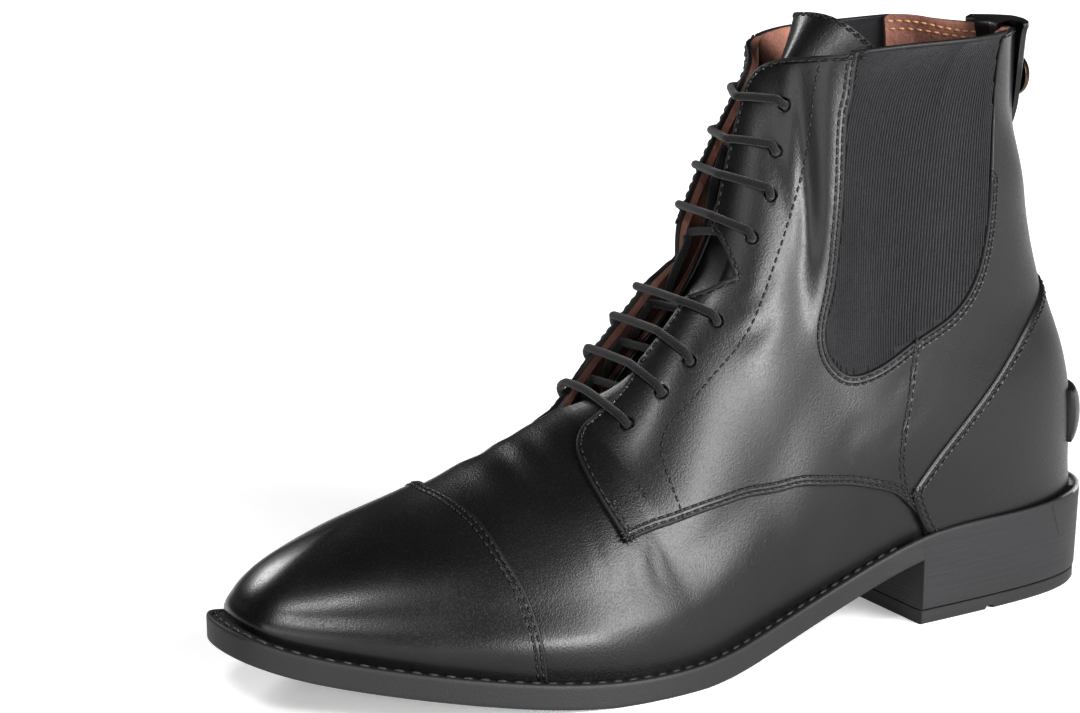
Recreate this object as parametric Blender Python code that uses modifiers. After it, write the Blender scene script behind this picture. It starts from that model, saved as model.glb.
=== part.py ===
"""Left jodhpur boot: a lace-up ankle boot with elastic sides on a moulded rubber sole.

Sizes are in millimetres and scaled to metres where a mesh is made. The boot stands on
z = 0 with its toe towards -Y and its outer (lateral) side towards +X.
"""
import math

import bmesh
import bpy
import numpy as np
from mathutils import Vector

MM = 0.001
SOLE_LENGTH = 293.0
LATERAL, MEDIAL = 1, -1
SIDES = (LATERAL, MEDIAL)

# Sole edge and heel
EDGE_THICKNESS = 7.6
HEEL_SHARE = 0.27
TOP_PIECE_HEIGHT = 4.3
HEEL_TAPER = 1.0
EDGE_CHAMFER = 0.8
LIP_WIDTH = 1.6
LIP_CREST = 0.64
WELT_START = 0.30
WELT_BED_START = 0.295
WELT_BED_DEPTH = 3.0
WELT_TOP_DROP = 0.9
GAP = 0.3
WELD = 0.01
UPPER_SEAT = 0.8

# Leather and the layers over the last, as heights along the surface normal
WALL = 2.2
VAMP_LIFT = -1.1
OVERLAY_LIFT = 0.5
OVERLAY_THICKNESS = 1.0
COUNTER_LIFT = 2.0
COUNTER_THICKNESS = 1.0
GORE_LIFT = -1.4
GORE_THICKNESS = 1.8
TONGUE_LIFT = -6.3
TONGUE_THICKNESS = 2.5
INSOLE_THICKNESS = 2.8
INSOLE_CLEARANCE = 0.8

# Lace, tab, snap and spur rest
LACE_DIAMETER = 2.8
LACE_CLEARANCE = 0.8
TAB_THICKNESS = 1.5
TAB_LIFT = 2.6
SNAP_DIAMETER = 13.0
SNAP_HEIGHT = 2.6
SNAP_ROUNDING = 0.8
SNAP_TURN = 0.70
SPUR_BASE_LIFT = 2.3
SPUR_EDGE = 0.9
SPUR_STAND_OFF = 4.4
SPUR_STEPS = 6

# Half widths of the sole: share of the length from the heel, outer side, inner side
SOLE_COLUMNS = ("share", "lateral", "medial")
SOLE_TABLE = (
    (0.03, 17.8, 17.0),
    (0.08, 25.6, 24.5),
    (0.16, 30.4, 29.5),
    (0.27, 33.8, 30.5),
    (0.38, 37.2, 28.5),
    (0.48, 44.0, 30.0),
    (0.58, 52.0, 36.5),
    (0.66, 53.2, 42.5),
    (0.74, 49.0, 45.2),
    (0.82, 41.2, 42.5),
    (0.90, 30.8, 34.0),
    (0.96, 21.2, 23.5),
    (0.99, 13.0, 14.0),
)

# Underside of the sole edge, and the width of the ledge that shows round the upper
UNDERSIDE_COLUMNS = ("share", "height", "ledge")
UNDERSIDE_TABLE = (
    (0.00, 24.2, 4.8),
    (0.14, 22.4, 3.4),
    (0.27, 20.6, 2.6),
    (0.36, 13.3, 2.8),
    (0.45, 5.8, 3.3),
    (0.53, 0.9, 3.7),
    (0.60, -0.3, 4.0),
    (0.66, -0.1, 4.1),
    (0.72, 1.2, 4.2),
    (0.80, 4.4, 4.4),
    (0.90, 9.7, 4.9),
    (0.96, 14.2, 5.3),
    (1.00, 18.6, 5.6),
)

# Sections of the last from the toe round to the back seam. Each runs from the sole (turn 0)
# up to the ridge, the facing or the collar (turn 1): "foot" is the angle round the sole's
# outline, "reach" and "height" place the top, "gap" is its half width, "ridge" its shift to
# the inner side, "round" the roundness of the arc, "fan" how far the arc opens like a fan at
# the toe, "swell" the bulge above the sole, "waist" the hollow at the ankle, and "lag" how
# much further back the inner side's top lies.
LAST_COLUMNS = ("foot", "reach", "height", "gap", "ridge", "round", "fan",
                "swell_lateral", "swell_medial", "waist", "lag")
LAST_TABLE = (
    (math.pi, 256.0, 47.3, 0.0, -1.0, 2.30, 1.0, 0.5, 0.5, 0.0, 0.0),
    (2.92, 255.0, 47.5, 0.0, -1.0, 2.30, 1.0, 0.5, 0.5, 0.0, 0.0),
    (2.68, 251.5, 48.2, 0.0, -1.5, 2.30, 1.0, 0.8, 0.8, 0.0, 0.0),
    (2.44, 244.0, 49.8, 0.0, -2.0, 2.25, 0.9, 1.2, 1.2, 0.0, 0.0),
    (2.20, 231.0, 53.0, 0.0, -3.0, 2.15, 0.6, 1.5, 1.5, 0.0, 0.0),
    (1.98, 214.0, 60.0, 0.0, -4.0, 2.00, 0.2, 1.5, 1.5, 0.0, 0.0),
    (1.80, 198.0, 67.2, 0.0, -4.0, 1.95, 0.0, 1.5, 2.0, 0.0, 0.0),
    (1.66, 184.0, 74.0, 0.0, -3.0, 1.90, 0.0, 1.5, 3.0, 0.0, 0.0),
    (1.57, 170.0, 83.2, 11.0, -2.0, 1.85, 0.0, 1.5, 4.0, 0.0, 0.0),
    (1.50, 155.5, 98.5, 12.0, -1.0, 1.80, 0.0, 1.5, 5.0, 0.0, 0.0),
    (1.44, 144.0, 114.0, 11.0, -1.0, 1.75, 0.0, 1.5, 6.0, 0.0, 0.5),
    (1.38, 136.3, 136.5, 9.0, -1.0, 1.75, 0.0, 2.0, 6.5, 0.0, 2.5),
    (1.32, 129.8, 156.5, 7.5, -1.0, 1.75, 0.0, 2.0, 6.5, 0.0, 6.0),
    (1.24, 123.5, 170.0, 9.5, -1.0, 1.80, 0.0, 2.0, 6.5, -0.5, 8.0),
    (1.14, 112.0, 174.0, 25.0, 0.0, 1.90, 0.0, 2.5, 6.0, -1.0, 5.0),
    (1.00, 92.0, 176.0, 34.0, 0.0, 2.00, 0.0, 2.5, 5.0, -1.0, 1.0),
    (0.82, 70.0, 176.9, 36.5, 0.0, 2.00, 0.0, 2.5, 3.5, -0.5, 0.0),
    (0.62, 50.5, 177.6, 33.0, 0.0, 2.00, 0.0, 2.5, 3.0, 1.2, 0.0),
    (0.40, 37.5, 178.0, 22.5, 0.0, 2.00, 0.0, 2.6, 2.6, 4.0, 0.0),
    (0.18, 31.5, 178.0, 10.8, 0.0, 2.00, 0.0, 3.2, 3.2, 6.2, 0.0),
    (0.00, 30.0, 178.0, 0.0, 0.0, 2.00, 0.0, 3.6, 3.6, 7.0, 0.0),
)
BACK = len(LAST_TABLE) - 1
THROAT = 7
COLLAR = 13.5
TOE_SLOPE = 0.30
SWELL_TOP = 0.46
WAIST_BOTTOM = 0.30
OVERRUN = 60.0

# Outlines on the last, as section number and turn
OVERLAY_LOW = 0.02
TOE_CAP_LAST = 4.7
TOE_CAP_COLUMNS = ("turn", "edge")
TOE_CAP_TABLE = ((0.0, 4.64), (0.35, 4.61), (0.66, 4.47), (1.0, 4.30))
QUARTER_FRONT = 6.33
SEAM_GAP = 0.03
QUARTER_COLUMNS = ("section", "low", "high")
QUARTER_TABLE = (
    (6.33, 0.400, 0.720),
    (6.60, 0.398, 0.765),
    (7.10, 0.392, 0.826),
    (7.60, 0.382, 0.876),
    (8.00, 0.368, 0.928),
    (8.35, 0.350, 1.000),
    (9.05, 0.312, 1.000),
    (10.50, 0.241, 1.000),
    (12.40, 0.156, 1.000),
    (13.40, 0.111, 1.000),
    (14.10, 0.070, 1.000),
    (14.50, OVERLAY_LOW, 1.000),
    (20.00, OVERLAY_LOW, 1.000),
)
COUNTER_COLUMNS = ("section", "high")
COUNTER_TABLE = ((14.3, 0.070), (15.3, 0.141), (16.7, 0.236), (18.1, 0.296), (20.0, 0.330))
GORE_MARGIN = 0.06
GORE_BOTTOM_MARGIN = 0.006
CUTTER_REACH = 6.0
CUTTER_TOP = 1.2
GORE_COLUMNS = ("turn", "front", "back")
GORE_TABLE = (
    (0.270, 13.60, 14.60),
    (0.285, 13.15, 15.20),
    (0.305, 12.95, 15.55),
    (0.345, 12.85, 15.95),
    (0.400, 13.20, 16.23),
    (0.470, 13.59, 16.36),
    (0.570, 13.92, 16.53),
    (0.720, 14.22, 16.68),
    (0.870, 14.38, 16.79),
    (1.000, 14.50, 16.90),
)
NOTCH_MOUTH = (9.55, 10.32)
NOTCH_POINT = (10.42, 0.715)
NOTCH_POINT_HALF = 0.03
EYELET_COLUMNS = ("section", "turn")
EYELET_TABLE = ((7.55, 0.734), (8.28, 0.744), (8.91, 0.729), (9.72, 0.724),
                (11.15, 0.678), (12.02, 0.653), (12.55, 0.693), (13.12, 0.764))
SPUR_SECTIONS = (18.3, 20.0)
SPUR_TURNS = (0.068, 0.142)
TAB_EDGE = 19.05
TAB_FOLD = 0.6
TAB_FOLD_ANGLES = (20, 60, 100, 140)
TAB_FOLD_TURN = 0.97
TAB_POINT = (0.35, 0.85, 1.0)
TAB_TIP_TURN = 0.583
TAB_INSIDE_TURN = 0.72
TONGUE_SECTIONS = (6.5, 12.8)
TONGUE_EDGE_TURN = 0.70
TONGUE_CROWN = 0.17
TONGUE_RISE = ((0.0, 4.5, 11.0), (0.0, 11.0, 20.5))

# Mesh resolution. Every layer of the upper uses the same lattice of sections and turns, so
# that the facets of neighbouring layers stay parallel. Turns lie closer near the sole.
SHARP_ANGLE = 40.0
OUTLINE_STEPS = 34
BREAST_STEP = 0.002
BREAST_CLEARANCE = 0.03
FACING_SECTIONS = (7.0, 13.0)
FINE_STEP = 0.5
LEAST_STEP = 0.1
TURN_STEPS = 9
GORE_ROWS = 8
NOTCH_ROWS = 3
NOTCH_COLUMNS = 5
TONGUE_ROWS = 11
TONGUE_TURNS = 4
LACE_ROUTE_POINTS = 4
TAB_OUTSIDE_ROWS = 6
TAB_INSIDE_ROWS = 4
TAB_COLUMNS = 7
SNAP_SIDES = 20
EVEN_TURNS = np.linspace(0, 1, TURN_STEPS + 1)
TURNS = np.sort(np.append(EVEN_TURNS / 2 + np.arcsin(EVEN_TURNS) / math.pi, OVERLAY_LOW))
FINE_SECTIONS = np.arange(0, BACK + FINE_STEP / 2, FINE_STEP)
IN_FACING = (FINE_SECTIONS > FACING_SECTIONS[0]) & (FINE_SECTIONS < FACING_SECTIONS[1])
SHARED_SECTIONS = FINE_SECTIONS[~IN_FACING | (FINE_SECTIONS % 1 == 0)]

COLOURS = {
    "leather": ((0.012, 0.012, 0.013), 0.35, 0.0),
    "elastic": ((0.016, 0.016, 0.018), 0.80, 0.0),
    "rubber": ((0.022, 0.022, 0.024), 0.60, 0.0),
    "lining": ((0.120, 0.045, 0.028), 0.75, 0.0),
    "cord": ((0.010, 0.010, 0.010), 0.50, 0.0),
    "metal": ((0.060, 0.045, 0.040), 0.35, 0.9),
}


def spline(places, values):
    """A natural cubic spline through the given places and values."""
    places = np.asarray(places, float)
    values = np.asarray(values, float)
    spans = np.diff(places)
    count = len(places)
    matrix = np.eye(count)
    right = np.zeros(count)
    for i in range(1, count - 1):
        matrix[i, i - 1:i + 2] = spans[i - 1], 2 * (spans[i - 1] + spans[i]), spans[i]
        right[i] = 6 * ((values[i + 1] - values[i]) / spans[i] - (values[i] - values[i - 1]) / spans[i - 1])
    bends = np.linalg.solve(matrix, right)

    def value(place):
        place = np.asarray(place, float)
        i = np.clip(np.searchsorted(places, place) - 1, 0, count - 2)
        ahead = places[i + 1] - place
        behind = place - places[i]
        span = spans[i]
        curve = (bends[i] * ahead ** 3 + bends[i + 1] * behind ** 3) / (6 * span)
        start = (values[i] / span - bends[i] * span / 6) * ahead
        end = (values[i + 1] / span - bends[i + 1] * span / 6) * behind
        return curve + start + end

    return value


def column(table, columns, name):
    """One named column of a table."""
    return [row[columns.index(name)] for row in table]


def angle_of(share):
    """Angle round the sole's outline at a share of its length: 0 at the heel, pi at the toe."""
    return np.arccos(1 - 2 * np.clip(share, 0, 1))


def share_of(angle):
    return (1 - np.cos(angle)) / 2


def half_width(side_name):
    angles = [0.0] + [float(angle_of(s)) for s in column(SOLE_TABLE, SOLE_COLUMNS, "share")] + [math.pi]
    return spline(angles, [0.0] + column(SOLE_TABLE, SOLE_COLUMNS, side_name) + [0.0])


HALF_WIDTH = {LATERAL: half_width("lateral"), MEDIAL: half_width("medial")}
UNDERSIDE_SHARES = column(UNDERSIDE_TABLE, UNDERSIDE_COLUMNS, "share")
UNDERSIDE_CURVE = spline(UNDERSIDE_SHARES, column(UNDERSIDE_TABLE, UNDERSIDE_COLUMNS, "height"))
LEDGE_CURVE = spline(UNDERSIDE_SHARES, column(UNDERSIDE_TABLE, UNDERSIDE_COLUMNS, "ledge"))


def underside(share):
    """Height of the sole's underside; the spline dips below zero where the sole is flat."""
    return np.maximum(UNDERSIDE_CURVE(share), 0.0)


def rim(share):
    return UNDERSIDE_CURVE(share) + EDGE_THICKNESS


def smooth_step(value):
    value = np.clip(value, 0, 1)
    return value * value * (3 - 2 * value)


def outline(side, angle, inset):
    """Plan points of the sole's edge, moved inwards by the inset, with the outward direction."""
    angle = np.asarray(angle, float)
    step = 1e-3

    def edge(a):
        a = np.clip(a, 0, math.pi)
        return np.stack([side * HALF_WIDTH[side](a), -SOLE_LENGTH * share_of(a)], -1)

    along = edge(angle + step) - edge(angle - step)
    along /= np.linalg.norm(along, axis=-1, keepdims=True)
    outward = np.stack([-along[..., 1], along[..., 0]], -1) * side
    at_end = (angle < step) | (angle > math.pi - step)
    straight = np.stack([np.zeros_like(angle), np.where(angle < 1.0, 1.0, -1.0)], -1)
    outward = np.where(at_end[..., None], straight, outward)
    return edge(angle) - np.asarray(inset)[..., None] * outward, outward


SECTIONS = range(len(LAST_TABLE))
OPEN_SECTIONS = range(THROAT, len(LAST_TABLE))
OPEN_COLUMNS = ("gap", "lag")
WHOLE_COLUMNS = [name for name in LAST_COLUMNS if name not in OPEN_COLUMNS]
LAST_VALUES = {name: column(LAST_TABLE, LAST_COLUMNS, name) for name in LAST_COLUMNS}
LAST = {name: spline(SECTIONS, LAST_VALUES[name]) for name in WHOLE_COLUMNS}
OPENING = {name: spline(OPEN_SECTIONS, LAST_VALUES[name][THROAT:]) for name in OPEN_COLUMNS}


def last_surface(section, turn, side):
    """Points of the boot's outer form at a section and a turn from the sole (0) to the top (1)."""
    section, turn = np.broadcast_arrays(np.asarray(section, float), np.asarray(turn, float))
    at = {name: curve(section) for name, curve in LAST.items()}
    foot_angle = np.clip(at["foot"], 0, math.pi)
    share = share_of(foot_angle)
    foot, outward = outline(side, foot_angle, LEDGE_CURVE(share))
    foot_z = rim(share) - WELT_TOP_DROP + UPPER_SEAT
    gap = np.where(section > THROAT, np.maximum(OPENING["gap"](section), 0), 0)
    top_x = at["ridge"] + side * gap
    lag = np.where((section > THROAT) & (side == MEDIAL), OPENING["lag"](section), 0)
    top_y = -at["reach"] + lag
    phase = np.clip(turn, 0, 1) * math.pi / 2
    out = np.cos(phase) ** (2 / at["round"])
    rise = np.sin(phase) ** (2 / at["round"])
    fan = np.clip(at["fan"], 0, 1)
    slope = TOE_SLOPE * fan
    x = top_x + (foot[..., 0] - top_x) * out
    y = top_y + (foot[..., 1] - top_y) * (fan * out + (1 - fan) * (1 - rise))
    base_z = foot_z - slope * (foot[..., 1] - top_y)
    z = base_z + (at["height"] - base_z) * rise + slope * (y - top_y)
    swell = at["swell_lateral"] if side == LATERAL else at["swell_medial"]
    bulge = swell * np.sin(math.pi * np.clip(rise / SWELL_TOP, 0, 1)) ** 2
    hollow = at["waist"] * np.sin(math.pi * np.clip((rise - WAIST_BOTTOM) / (1 - WAIST_BOTTOM), 0, 1)) ** 2
    x = x + outward[..., 0] * (bulge - hollow)
    y = y + outward[..., 1] * (bulge - hollow)
    past_top = np.maximum(turn - 1, 0) * OVERRUN
    on_collar = section > COLLAR
    x = x - np.where(on_collar, 0, side * past_top)
    z = z + np.where(on_collar, past_top, 0)
    return np.stack([x, y, z], -1)


def last_normal(section, turn, side):
    """Outward unit normals; on the seams they lie in the seam's own plane."""
    section, turn = np.broadcast_arrays(np.asarray(section, float), np.asarray(turn, float))
    step = 0.004
    low = np.clip(turn - step, 0, 1 - 2 * step)
    along = last_surface(np.clip(section + step, 0, BACK), turn, side)
    along = along - last_surface(np.clip(section - step, 0, BACK), turn, side)
    up = last_surface(section, low + 2 * step, side) - last_surface(section, low, side)
    normal = np.cross(along, up) * side
    on_seam = (section < step) | (section > BACK - step)
    on_ridge = (turn > 1 - step) & (section <= THROAT)
    ridge_normal = np.stack([np.zeros_like(section), along[..., 2], -along[..., 1]], -1)
    ridge_normal = ridge_normal * np.sign(ridge_normal[..., 2:3])
    seam_normal = np.stack([np.zeros_like(section), up[..., 2], -up[..., 1]], -1)
    seam_normal = seam_normal * np.where(section < THROAT, -1, 1)[..., None]
    normal = np.where(on_ridge[..., None], ridge_normal, normal)
    normal = np.where(on_seam[..., None], seam_normal, normal)
    return normal / np.linalg.norm(normal, axis=-1, keepdims=True)


def lifted(section, turn, side, lift):
    lift = np.asarray(lift, float)
    return last_surface(section, turn, side) + lift[..., None] * last_normal(section, turn, side)


OUTLINE_ANGLES = np.linspace(0, math.pi, OUTLINE_STEPS + 1)
BREAST_ANGLE = float(angle_of(HEEL_SHARE))
SOLE_ANGLES = np.sort(np.concatenate([
    OUTLINE_ANGLES[np.abs(OUTLINE_ANGLES - BREAST_ANGLE) > BREAST_CLEARANCE],
    [BREAST_ANGLE - BREAST_STEP, BREAST_ANGLE + BREAST_STEP]]))
CENTRE_X = (HALF_WIDTH[LATERAL](SOLE_ANGLES).max() - HALF_WIDTH[MEDIAL](SOLE_ANGLES).max()) / 2
CENTRE_Y = -SOLE_LENGTH / 2


def placed(points):
    """Boot millimetres to metres, with the origin under the middle of the boot."""
    return (np.asarray(points, float) - (CENTRE_X, CENTRE_Y, 0.0)) * MM


def collection(name):
    group = bpy.data.collections.new(name)
    bpy.context.scene.collection.children.link(group)
    return group


def material(name):
    colour, roughness, metallic = COLOURS[name]
    made = bpy.data.materials.new(name)
    made.use_nodes = True
    shader = made.node_tree.nodes["Principled BSDF"]
    shader.inputs["Base Color"].default_value = (*colour, 1.0)
    shader.inputs["Roughness"].default_value = roughness
    shader.inputs["Metallic"].default_value = metallic
    return made


def finish(name, mesh, look):
    """Make a mesh an object of the boot, smooth shaded, with its material."""
    thing = bpy.data.objects.new(name, mesh)
    BOOT.objects.link(thing)
    mesh.materials.append(MATERIALS[look])
    mesh.shade_smooth()
    mesh.set_sharp_from_angle(angle=math.radians(SHARP_ANGLE))
    return thing


def to_mesh(name, form):
    bmesh.ops.recalc_face_normals(form, faces=form.faces)
    mesh = bpy.data.meshes.new(name)
    form.to_mesh(mesh)
    form.free()
    return mesh


def add_points(form, points):
    return [form.verts.new(p) for p in placed(points)]


def ring_loft(loops, capped_across):
    """A closed form through loops of equal length. Loops that go round the sole are capped by
    strips from side to side, and short rings by one face."""
    form = bmesh.new()
    rows = [add_points(form, loop) for loop in loops]
    count = len(rows[0])
    for lower, upper in zip(rows, rows[1:]):
        for i in range(count):
            j = (i + 1) % count
            form.faces.new((lower[i], lower[j], upper[j], upper[i]))
    for row in (rows[0], rows[-1]):
        if not capped_across:
            form.faces.new(row)
            continue
        half = count // 2
        for i in range(half):
            corners = [row[i], row[i + 1], row[-i - 1], row[-i]]
            form.faces.new(list(dict.fromkeys(corners)))
    return form


def around(angles, inset, height):
    """A loop round the sole: heel to toe on the outer side and back on the inner side."""
    share = share_of(angles)
    z = height(share) * np.ones_like(share)
    lateral = np.c_[outline(LATERAL, angles, inset(share) * np.ones_like(share))[0], z]
    medial = np.c_[outline(MEDIAL, angles, inset(share) * np.ones_like(share))[0], z]
    back_part = medial[-2:0:-1] if angles[-1] > math.pi - BREAST_STEP else medial[:0:-1]
    return np.concatenate([lateral, back_part])


def outsole():
    """The moulded sole: a lip round the edge, a bed for the welt, the arch and the heel block."""
    def in_heel(share):
        return share < HEEL_SHARE

    def bottom(share):
        return np.where(in_heel(share), TOP_PIECE_HEIGHT + GAP, underside(share))

    def bed(share):
        deeper = smooth_step((share - HEEL_SHARE) / (WELT_BED_START - HEEL_SHARE))
        return rim(share) - WELT_TOP_DROP - (WELT_BED_DEPTH - WELT_TOP_DROP) * deeper

    def seat_inset(share):
        return LEDGE_CURVE(share) + WALL + GAP

    loops = [
        around(SOLE_ANGLES, lambda s: seat_inset(s) + GAP, lambda s: rim(s) - WELT_TOP_DROP),
        around(SOLE_ANGLES, seat_inset, bed),
        around(SOLE_ANGLES, lambda s: LIP_WIDTH + 0 * s, bed),
        around(SOLE_ANGLES, lambda s: LIP_WIDTH - GAP + 0 * s, lambda s: rim(s) - GAP),
        around(SOLE_ANGLES, lambda s: LIP_CREST + 0 * s, rim),
        around(SOLE_ANGLES, lambda s: 0 * s, lambda s: rim(s) - EDGE_CHAMFER),
        around(SOLE_ANGLES, lambda s: HEEL_TAPER * in_heel(s), lambda s: bottom(s) + EDGE_CHAMFER),
        around(SOLE_ANGLES, lambda s: EDGE_CHAMFER + HEEL_TAPER * in_heel(s), bottom),
    ]
    return finish("outsole", to_mesh("outsole", ring_loft(loops, True)), "rubber")


def heel_top_piece():
    """The wearing piece under the heel, with the groove line above it."""
    angles = SOLE_ANGLES[SOLE_ANGLES < BREAST_ANGLE]
    loops = [
        around(angles, lambda s: HEEL_TAPER + 2 * EDGE_CHAMFER + 0 * s, lambda s: 0 * s),
        around(angles, lambda s: HEEL_TAPER + EDGE_CHAMFER / 2 + 0 * s, lambda s: EDGE_CHAMFER + 0 * s),
        around(angles, lambda s: HEEL_TAPER + EDGE_CHAMFER / 2 + 0 * s, lambda s: TOP_PIECE_HEIGHT + 0 * s),
    ]
    return finish("heel_top_piece", to_mesh("heel_top_piece", ring_loft(loops, True)), "rubber")


def welt():
    """The strip between sole and upper, from one side of the heel round the toe to the other."""
    angles = SOLE_ANGLES[SOLE_ANGLES > float(angle_of(WELT_START))]
    rings = []
    for side, route in ((LATERAL, angles), (MEDIAL, angles[-2::-1])):
        for angle in route:
            share = share_of(angle)
            outer = outline(side, angle, LIP_WIDTH + GAP)[0]
            inner = outline(side, angle, LEDGE_CURVE(share) + WALL - GAP)[0]
            high = rim(share) - WELT_TOP_DROP
            low = rim(share) - WELT_BED_DEPTH + GAP
            rings.append([(*outer, low), (*outer, high), (*inner, high), (*inner, low)])
    return finish("welt", to_mesh("welt", ring_loft(rings, False)), "leather")


def insole():
    """The footbed, clear of the wall of the upper all round."""
    def inset(share):
        return LEDGE_CURVE(share) - VAMP_LIFT + WALL + INSOLE_CLEARANCE

    def low(share):
        return rim(share) - WELT_TOP_DROP + GAP

    loops = [
        around(OUTLINE_ANGLES, inset, low),
        around(OUTLINE_ANGLES, inset, lambda s: low(s) + INSOLE_THICKNESS),
    ]
    return finish("insole", to_mesh("insole", ring_loft(loops, True)), "lining")


def shell(name, outer_grids, inner_grids, look):
    """A closed wall between an outer and an inner form, given as matching grids of points.
    Points that coincide are welded, cells are split the same way in every layer, so that two
    layers stay parallel, and the open edges of the grids get a rim."""
    form = bmesh.new()
    pairs = {}

    def pair(outer_point, inner_point):
        for key, (welded, _) in pairs.items():
            if (welded.co - Vector(placed(outer_point))).length < WELD * MM:
                return key
        pairs[len(pairs)] = add_points(form, [outer_point, inner_point])
        return len(pairs) - 1

    outer_faces = []
    for outer, inner in zip(outer_grids, inner_grids):
        keys = [[pair(*both) for both in zip(*rows)] for rows in zip(outer, inner)]
        for lower, upper_row in zip(keys, keys[1:]):
            for j in range(len(lower) - 1):
                for corners in ((lower[j], upper_row[j], lower[j + 1]),
                                (upper_row[j], upper_row[j + 1], lower[j + 1])):
                    if len(set(corners)) == 3:
                        outer_faces.append(form.faces.new([pairs[key][0] for key in corners]))
                        form.faces.new([pairs[key][1] for key in reversed(corners)])
    partner = {both[0]: both[1] for both in pairs.values()}
    rim_edges = [edge for face in outer_faces for edge in face.edges if len(edge.link_faces) == 1]
    for edge in rim_edges:
        start, end = edge.verts
        form.faces.new((start, end, partner[end], partner[start]))
    return finish(name, to_mesh(name, form), look)


def patch(side, sections, low, high, lift):
    """A grid on the last over a run of sections, trimmed to a low and a high turn for each. All
    layers share the same turns, so that their facets stay parallel."""
    turns = np.clip(TURNS, low(sections)[:, None], high(sections)[:, None])
    return lifted(sections[:, None] + 0 * turns, turns, side, lift + 0 * turns)


def overlay(name, sides, sections, low, high, lift, thickness, look):
    """A layer of the boot over a run of sections, cut between two forms of the last."""
    outer = [patch(side, sections, low, high, lift) for side in sides]
    inner = [patch(side, sections, low, high, lift - thickness) for side in sides]
    return shell(name, outer, inner, look)


def run_of_sections(first, last):
    """The shared sections between two ends, with the ends themselves."""
    from_first = SHARED_SECTIONS > first + LEAST_STEP
    to_last = SHARED_SECTIONS < last - LEAST_STEP
    return np.concatenate([[first], SHARED_SECTIONS[from_first & to_last], [last]])


def table_curve(table, columns, name):
    places = column(table, columns, columns[0])
    values = column(table, columns, name)
    return lambda place: np.interp(place, places, values)


def upper():
    """The hollow upper: one wall over the last, open at the collar, the throat and underneath."""
    sections = run_of_sections(0, BACK)
    return overlay("upper", SIDES, sections, np.zeros_like, np.ones_like, VAMP_LIFT, WALL, "leather")


def toe_cap():
    """The cap laid over the toe, its back edge straight across the vamp."""
    edge = table_curve(TOE_CAP_TABLE, TOE_CAP_COLUMNS, "edge")
    turns = np.maximum(TURNS, OVERLAY_LOW)
    sections = np.minimum(run_of_sections(0, TOE_CAP_LAST)[:, None], edge(turns))
    turns = turns + 0 * sections
    outer = [lifted(sections, turns, side, OVERLAY_LIFT + 0 * turns) for side in SIDES]
    inner = [lifted(sections, turns, side, OVERLAY_LIFT - OVERLAY_THICKNESS + 0 * turns) for side in SIDES]
    return shell("toe_cap", outer, inner, "leather")


def quarter(name, side):
    """The quarter with its facing, laid over the vamp and running round to the back seam."""
    low = table_curve(QUARTER_TABLE, QUARTER_COLUMNS, "low")
    high = table_curve(QUARTER_TABLE, QUARTER_COLUMNS, "high")
    sections = run_of_sections(QUARTER_FRONT, BACK - SEAM_GAP)
    return overlay(name, [side], sections, low, high, OVERLAY_LIFT, OVERLAY_THICKNESS, "leather")


def counter():
    """The heel piece laid over both quarters, with its slanting front edge."""
    high = table_curve(COUNTER_TABLE, COUNTER_COLUMNS, "high")
    sections = run_of_sections(COUNTER_TABLE[0][0], BACK)
    return overlay("counter", SIDES, sections, lambda s: OVERLAY_LOW + 0 * s, high,
                   COUNTER_LIFT, COUNTER_THICKNESS, "leather")


def gore_grid(side, lift, margin, bottom_margin, top):
    """The elastic's outline as a grid; the margins draw its front, back and bottom edges in."""
    turns = np.array(column(GORE_TABLE, GORE_COLUMNS, "turn"))
    front = np.array(column(GORE_TABLE, GORE_COLUMNS, "front")) + margin
    back = np.array(column(GORE_TABLE, GORE_COLUMNS, "back")) - margin
    turns[0] += bottom_margin
    turns[-1] = top
    across = np.linspace(0, 1, GORE_ROWS)
    sections = front[:, None] + (back - front)[:, None] * across
    return lifted(sections, turns[:, None] + 0 * sections, side, lift + 0 * sections)


def gore_cutter(side):
    """A block in the elastic's outline, through every layer of the upper."""
    outer = gore_grid(side, CUTTER_REACH, 0.0, 0.0, CUTTER_TOP)
    inner = gore_grid(side, -CUTTER_REACH, 0.0, 0.0, CUTTER_TOP)
    return as_cutter(shell(f"gore_window_{side}", [outer], [inner], "elastic"))


def gore(name, side):
    """The elastic panel set into its window."""
    outer = gore_grid(side, GORE_LIFT, GORE_MARGIN, GORE_BOTTOM_MARGIN, 1.0)
    inner = gore_grid(side, GORE_LIFT - GORE_THICKNESS, GORE_MARGIN, GORE_BOTTOM_MARGIN, 1.0)
    return shell(name, [outer], [inner], "elastic")


def notch_cutter(side):
    """A wedge that opens the facing between the lower and the upper eyelets."""
    across = np.linspace(-1, 1, NOTCH_ROWS)
    mouth = np.linspace(*NOTCH_MOUTH, NOTCH_ROWS)
    point = NOTCH_POINT[0] + NOTCH_POINT_HALF * across
    share = np.linspace(0, 1, NOTCH_COLUMNS)
    sections = point[:, None] + (mouth - point)[:, None] * share
    turns = NOTCH_POINT[1] + (CUTTER_TOP - NOTCH_POINT[1]) * share + 0 * sections
    outer = lifted(sections, turns, side, CUTTER_REACH + 0 * turns)
    inner = lifted(sections, turns, side, -CUTTER_REACH + 0 * turns)
    return as_cutter(shell(f"notch_{side}", [outer], [inner], "leather"))


def as_cutter(thing):
    BOOT.objects.unlink(thing)
    CUTTERS.objects.link(thing)
    thing.hide_render = True
    thing.display_type = "WIRE"
    return thing


def cut(thing, cutters):
    for cutter in cutters:
        opening = thing.modifiers.new(cutter.name, "BOOLEAN")
        opening.operation = "DIFFERENCE"
        opening.solver = "EXACT"
        opening.object = cutter


def tongue():
    """The tongue under the facings, its root below the vamp and its top above the collar."""
    outer = tongue_grid(TONGUE_LIFT)
    inner = tongue_grid(TONGUE_LIFT - TONGUE_THICKNESS)
    return shell("tongue", [outer], [inner], "leather")


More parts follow.
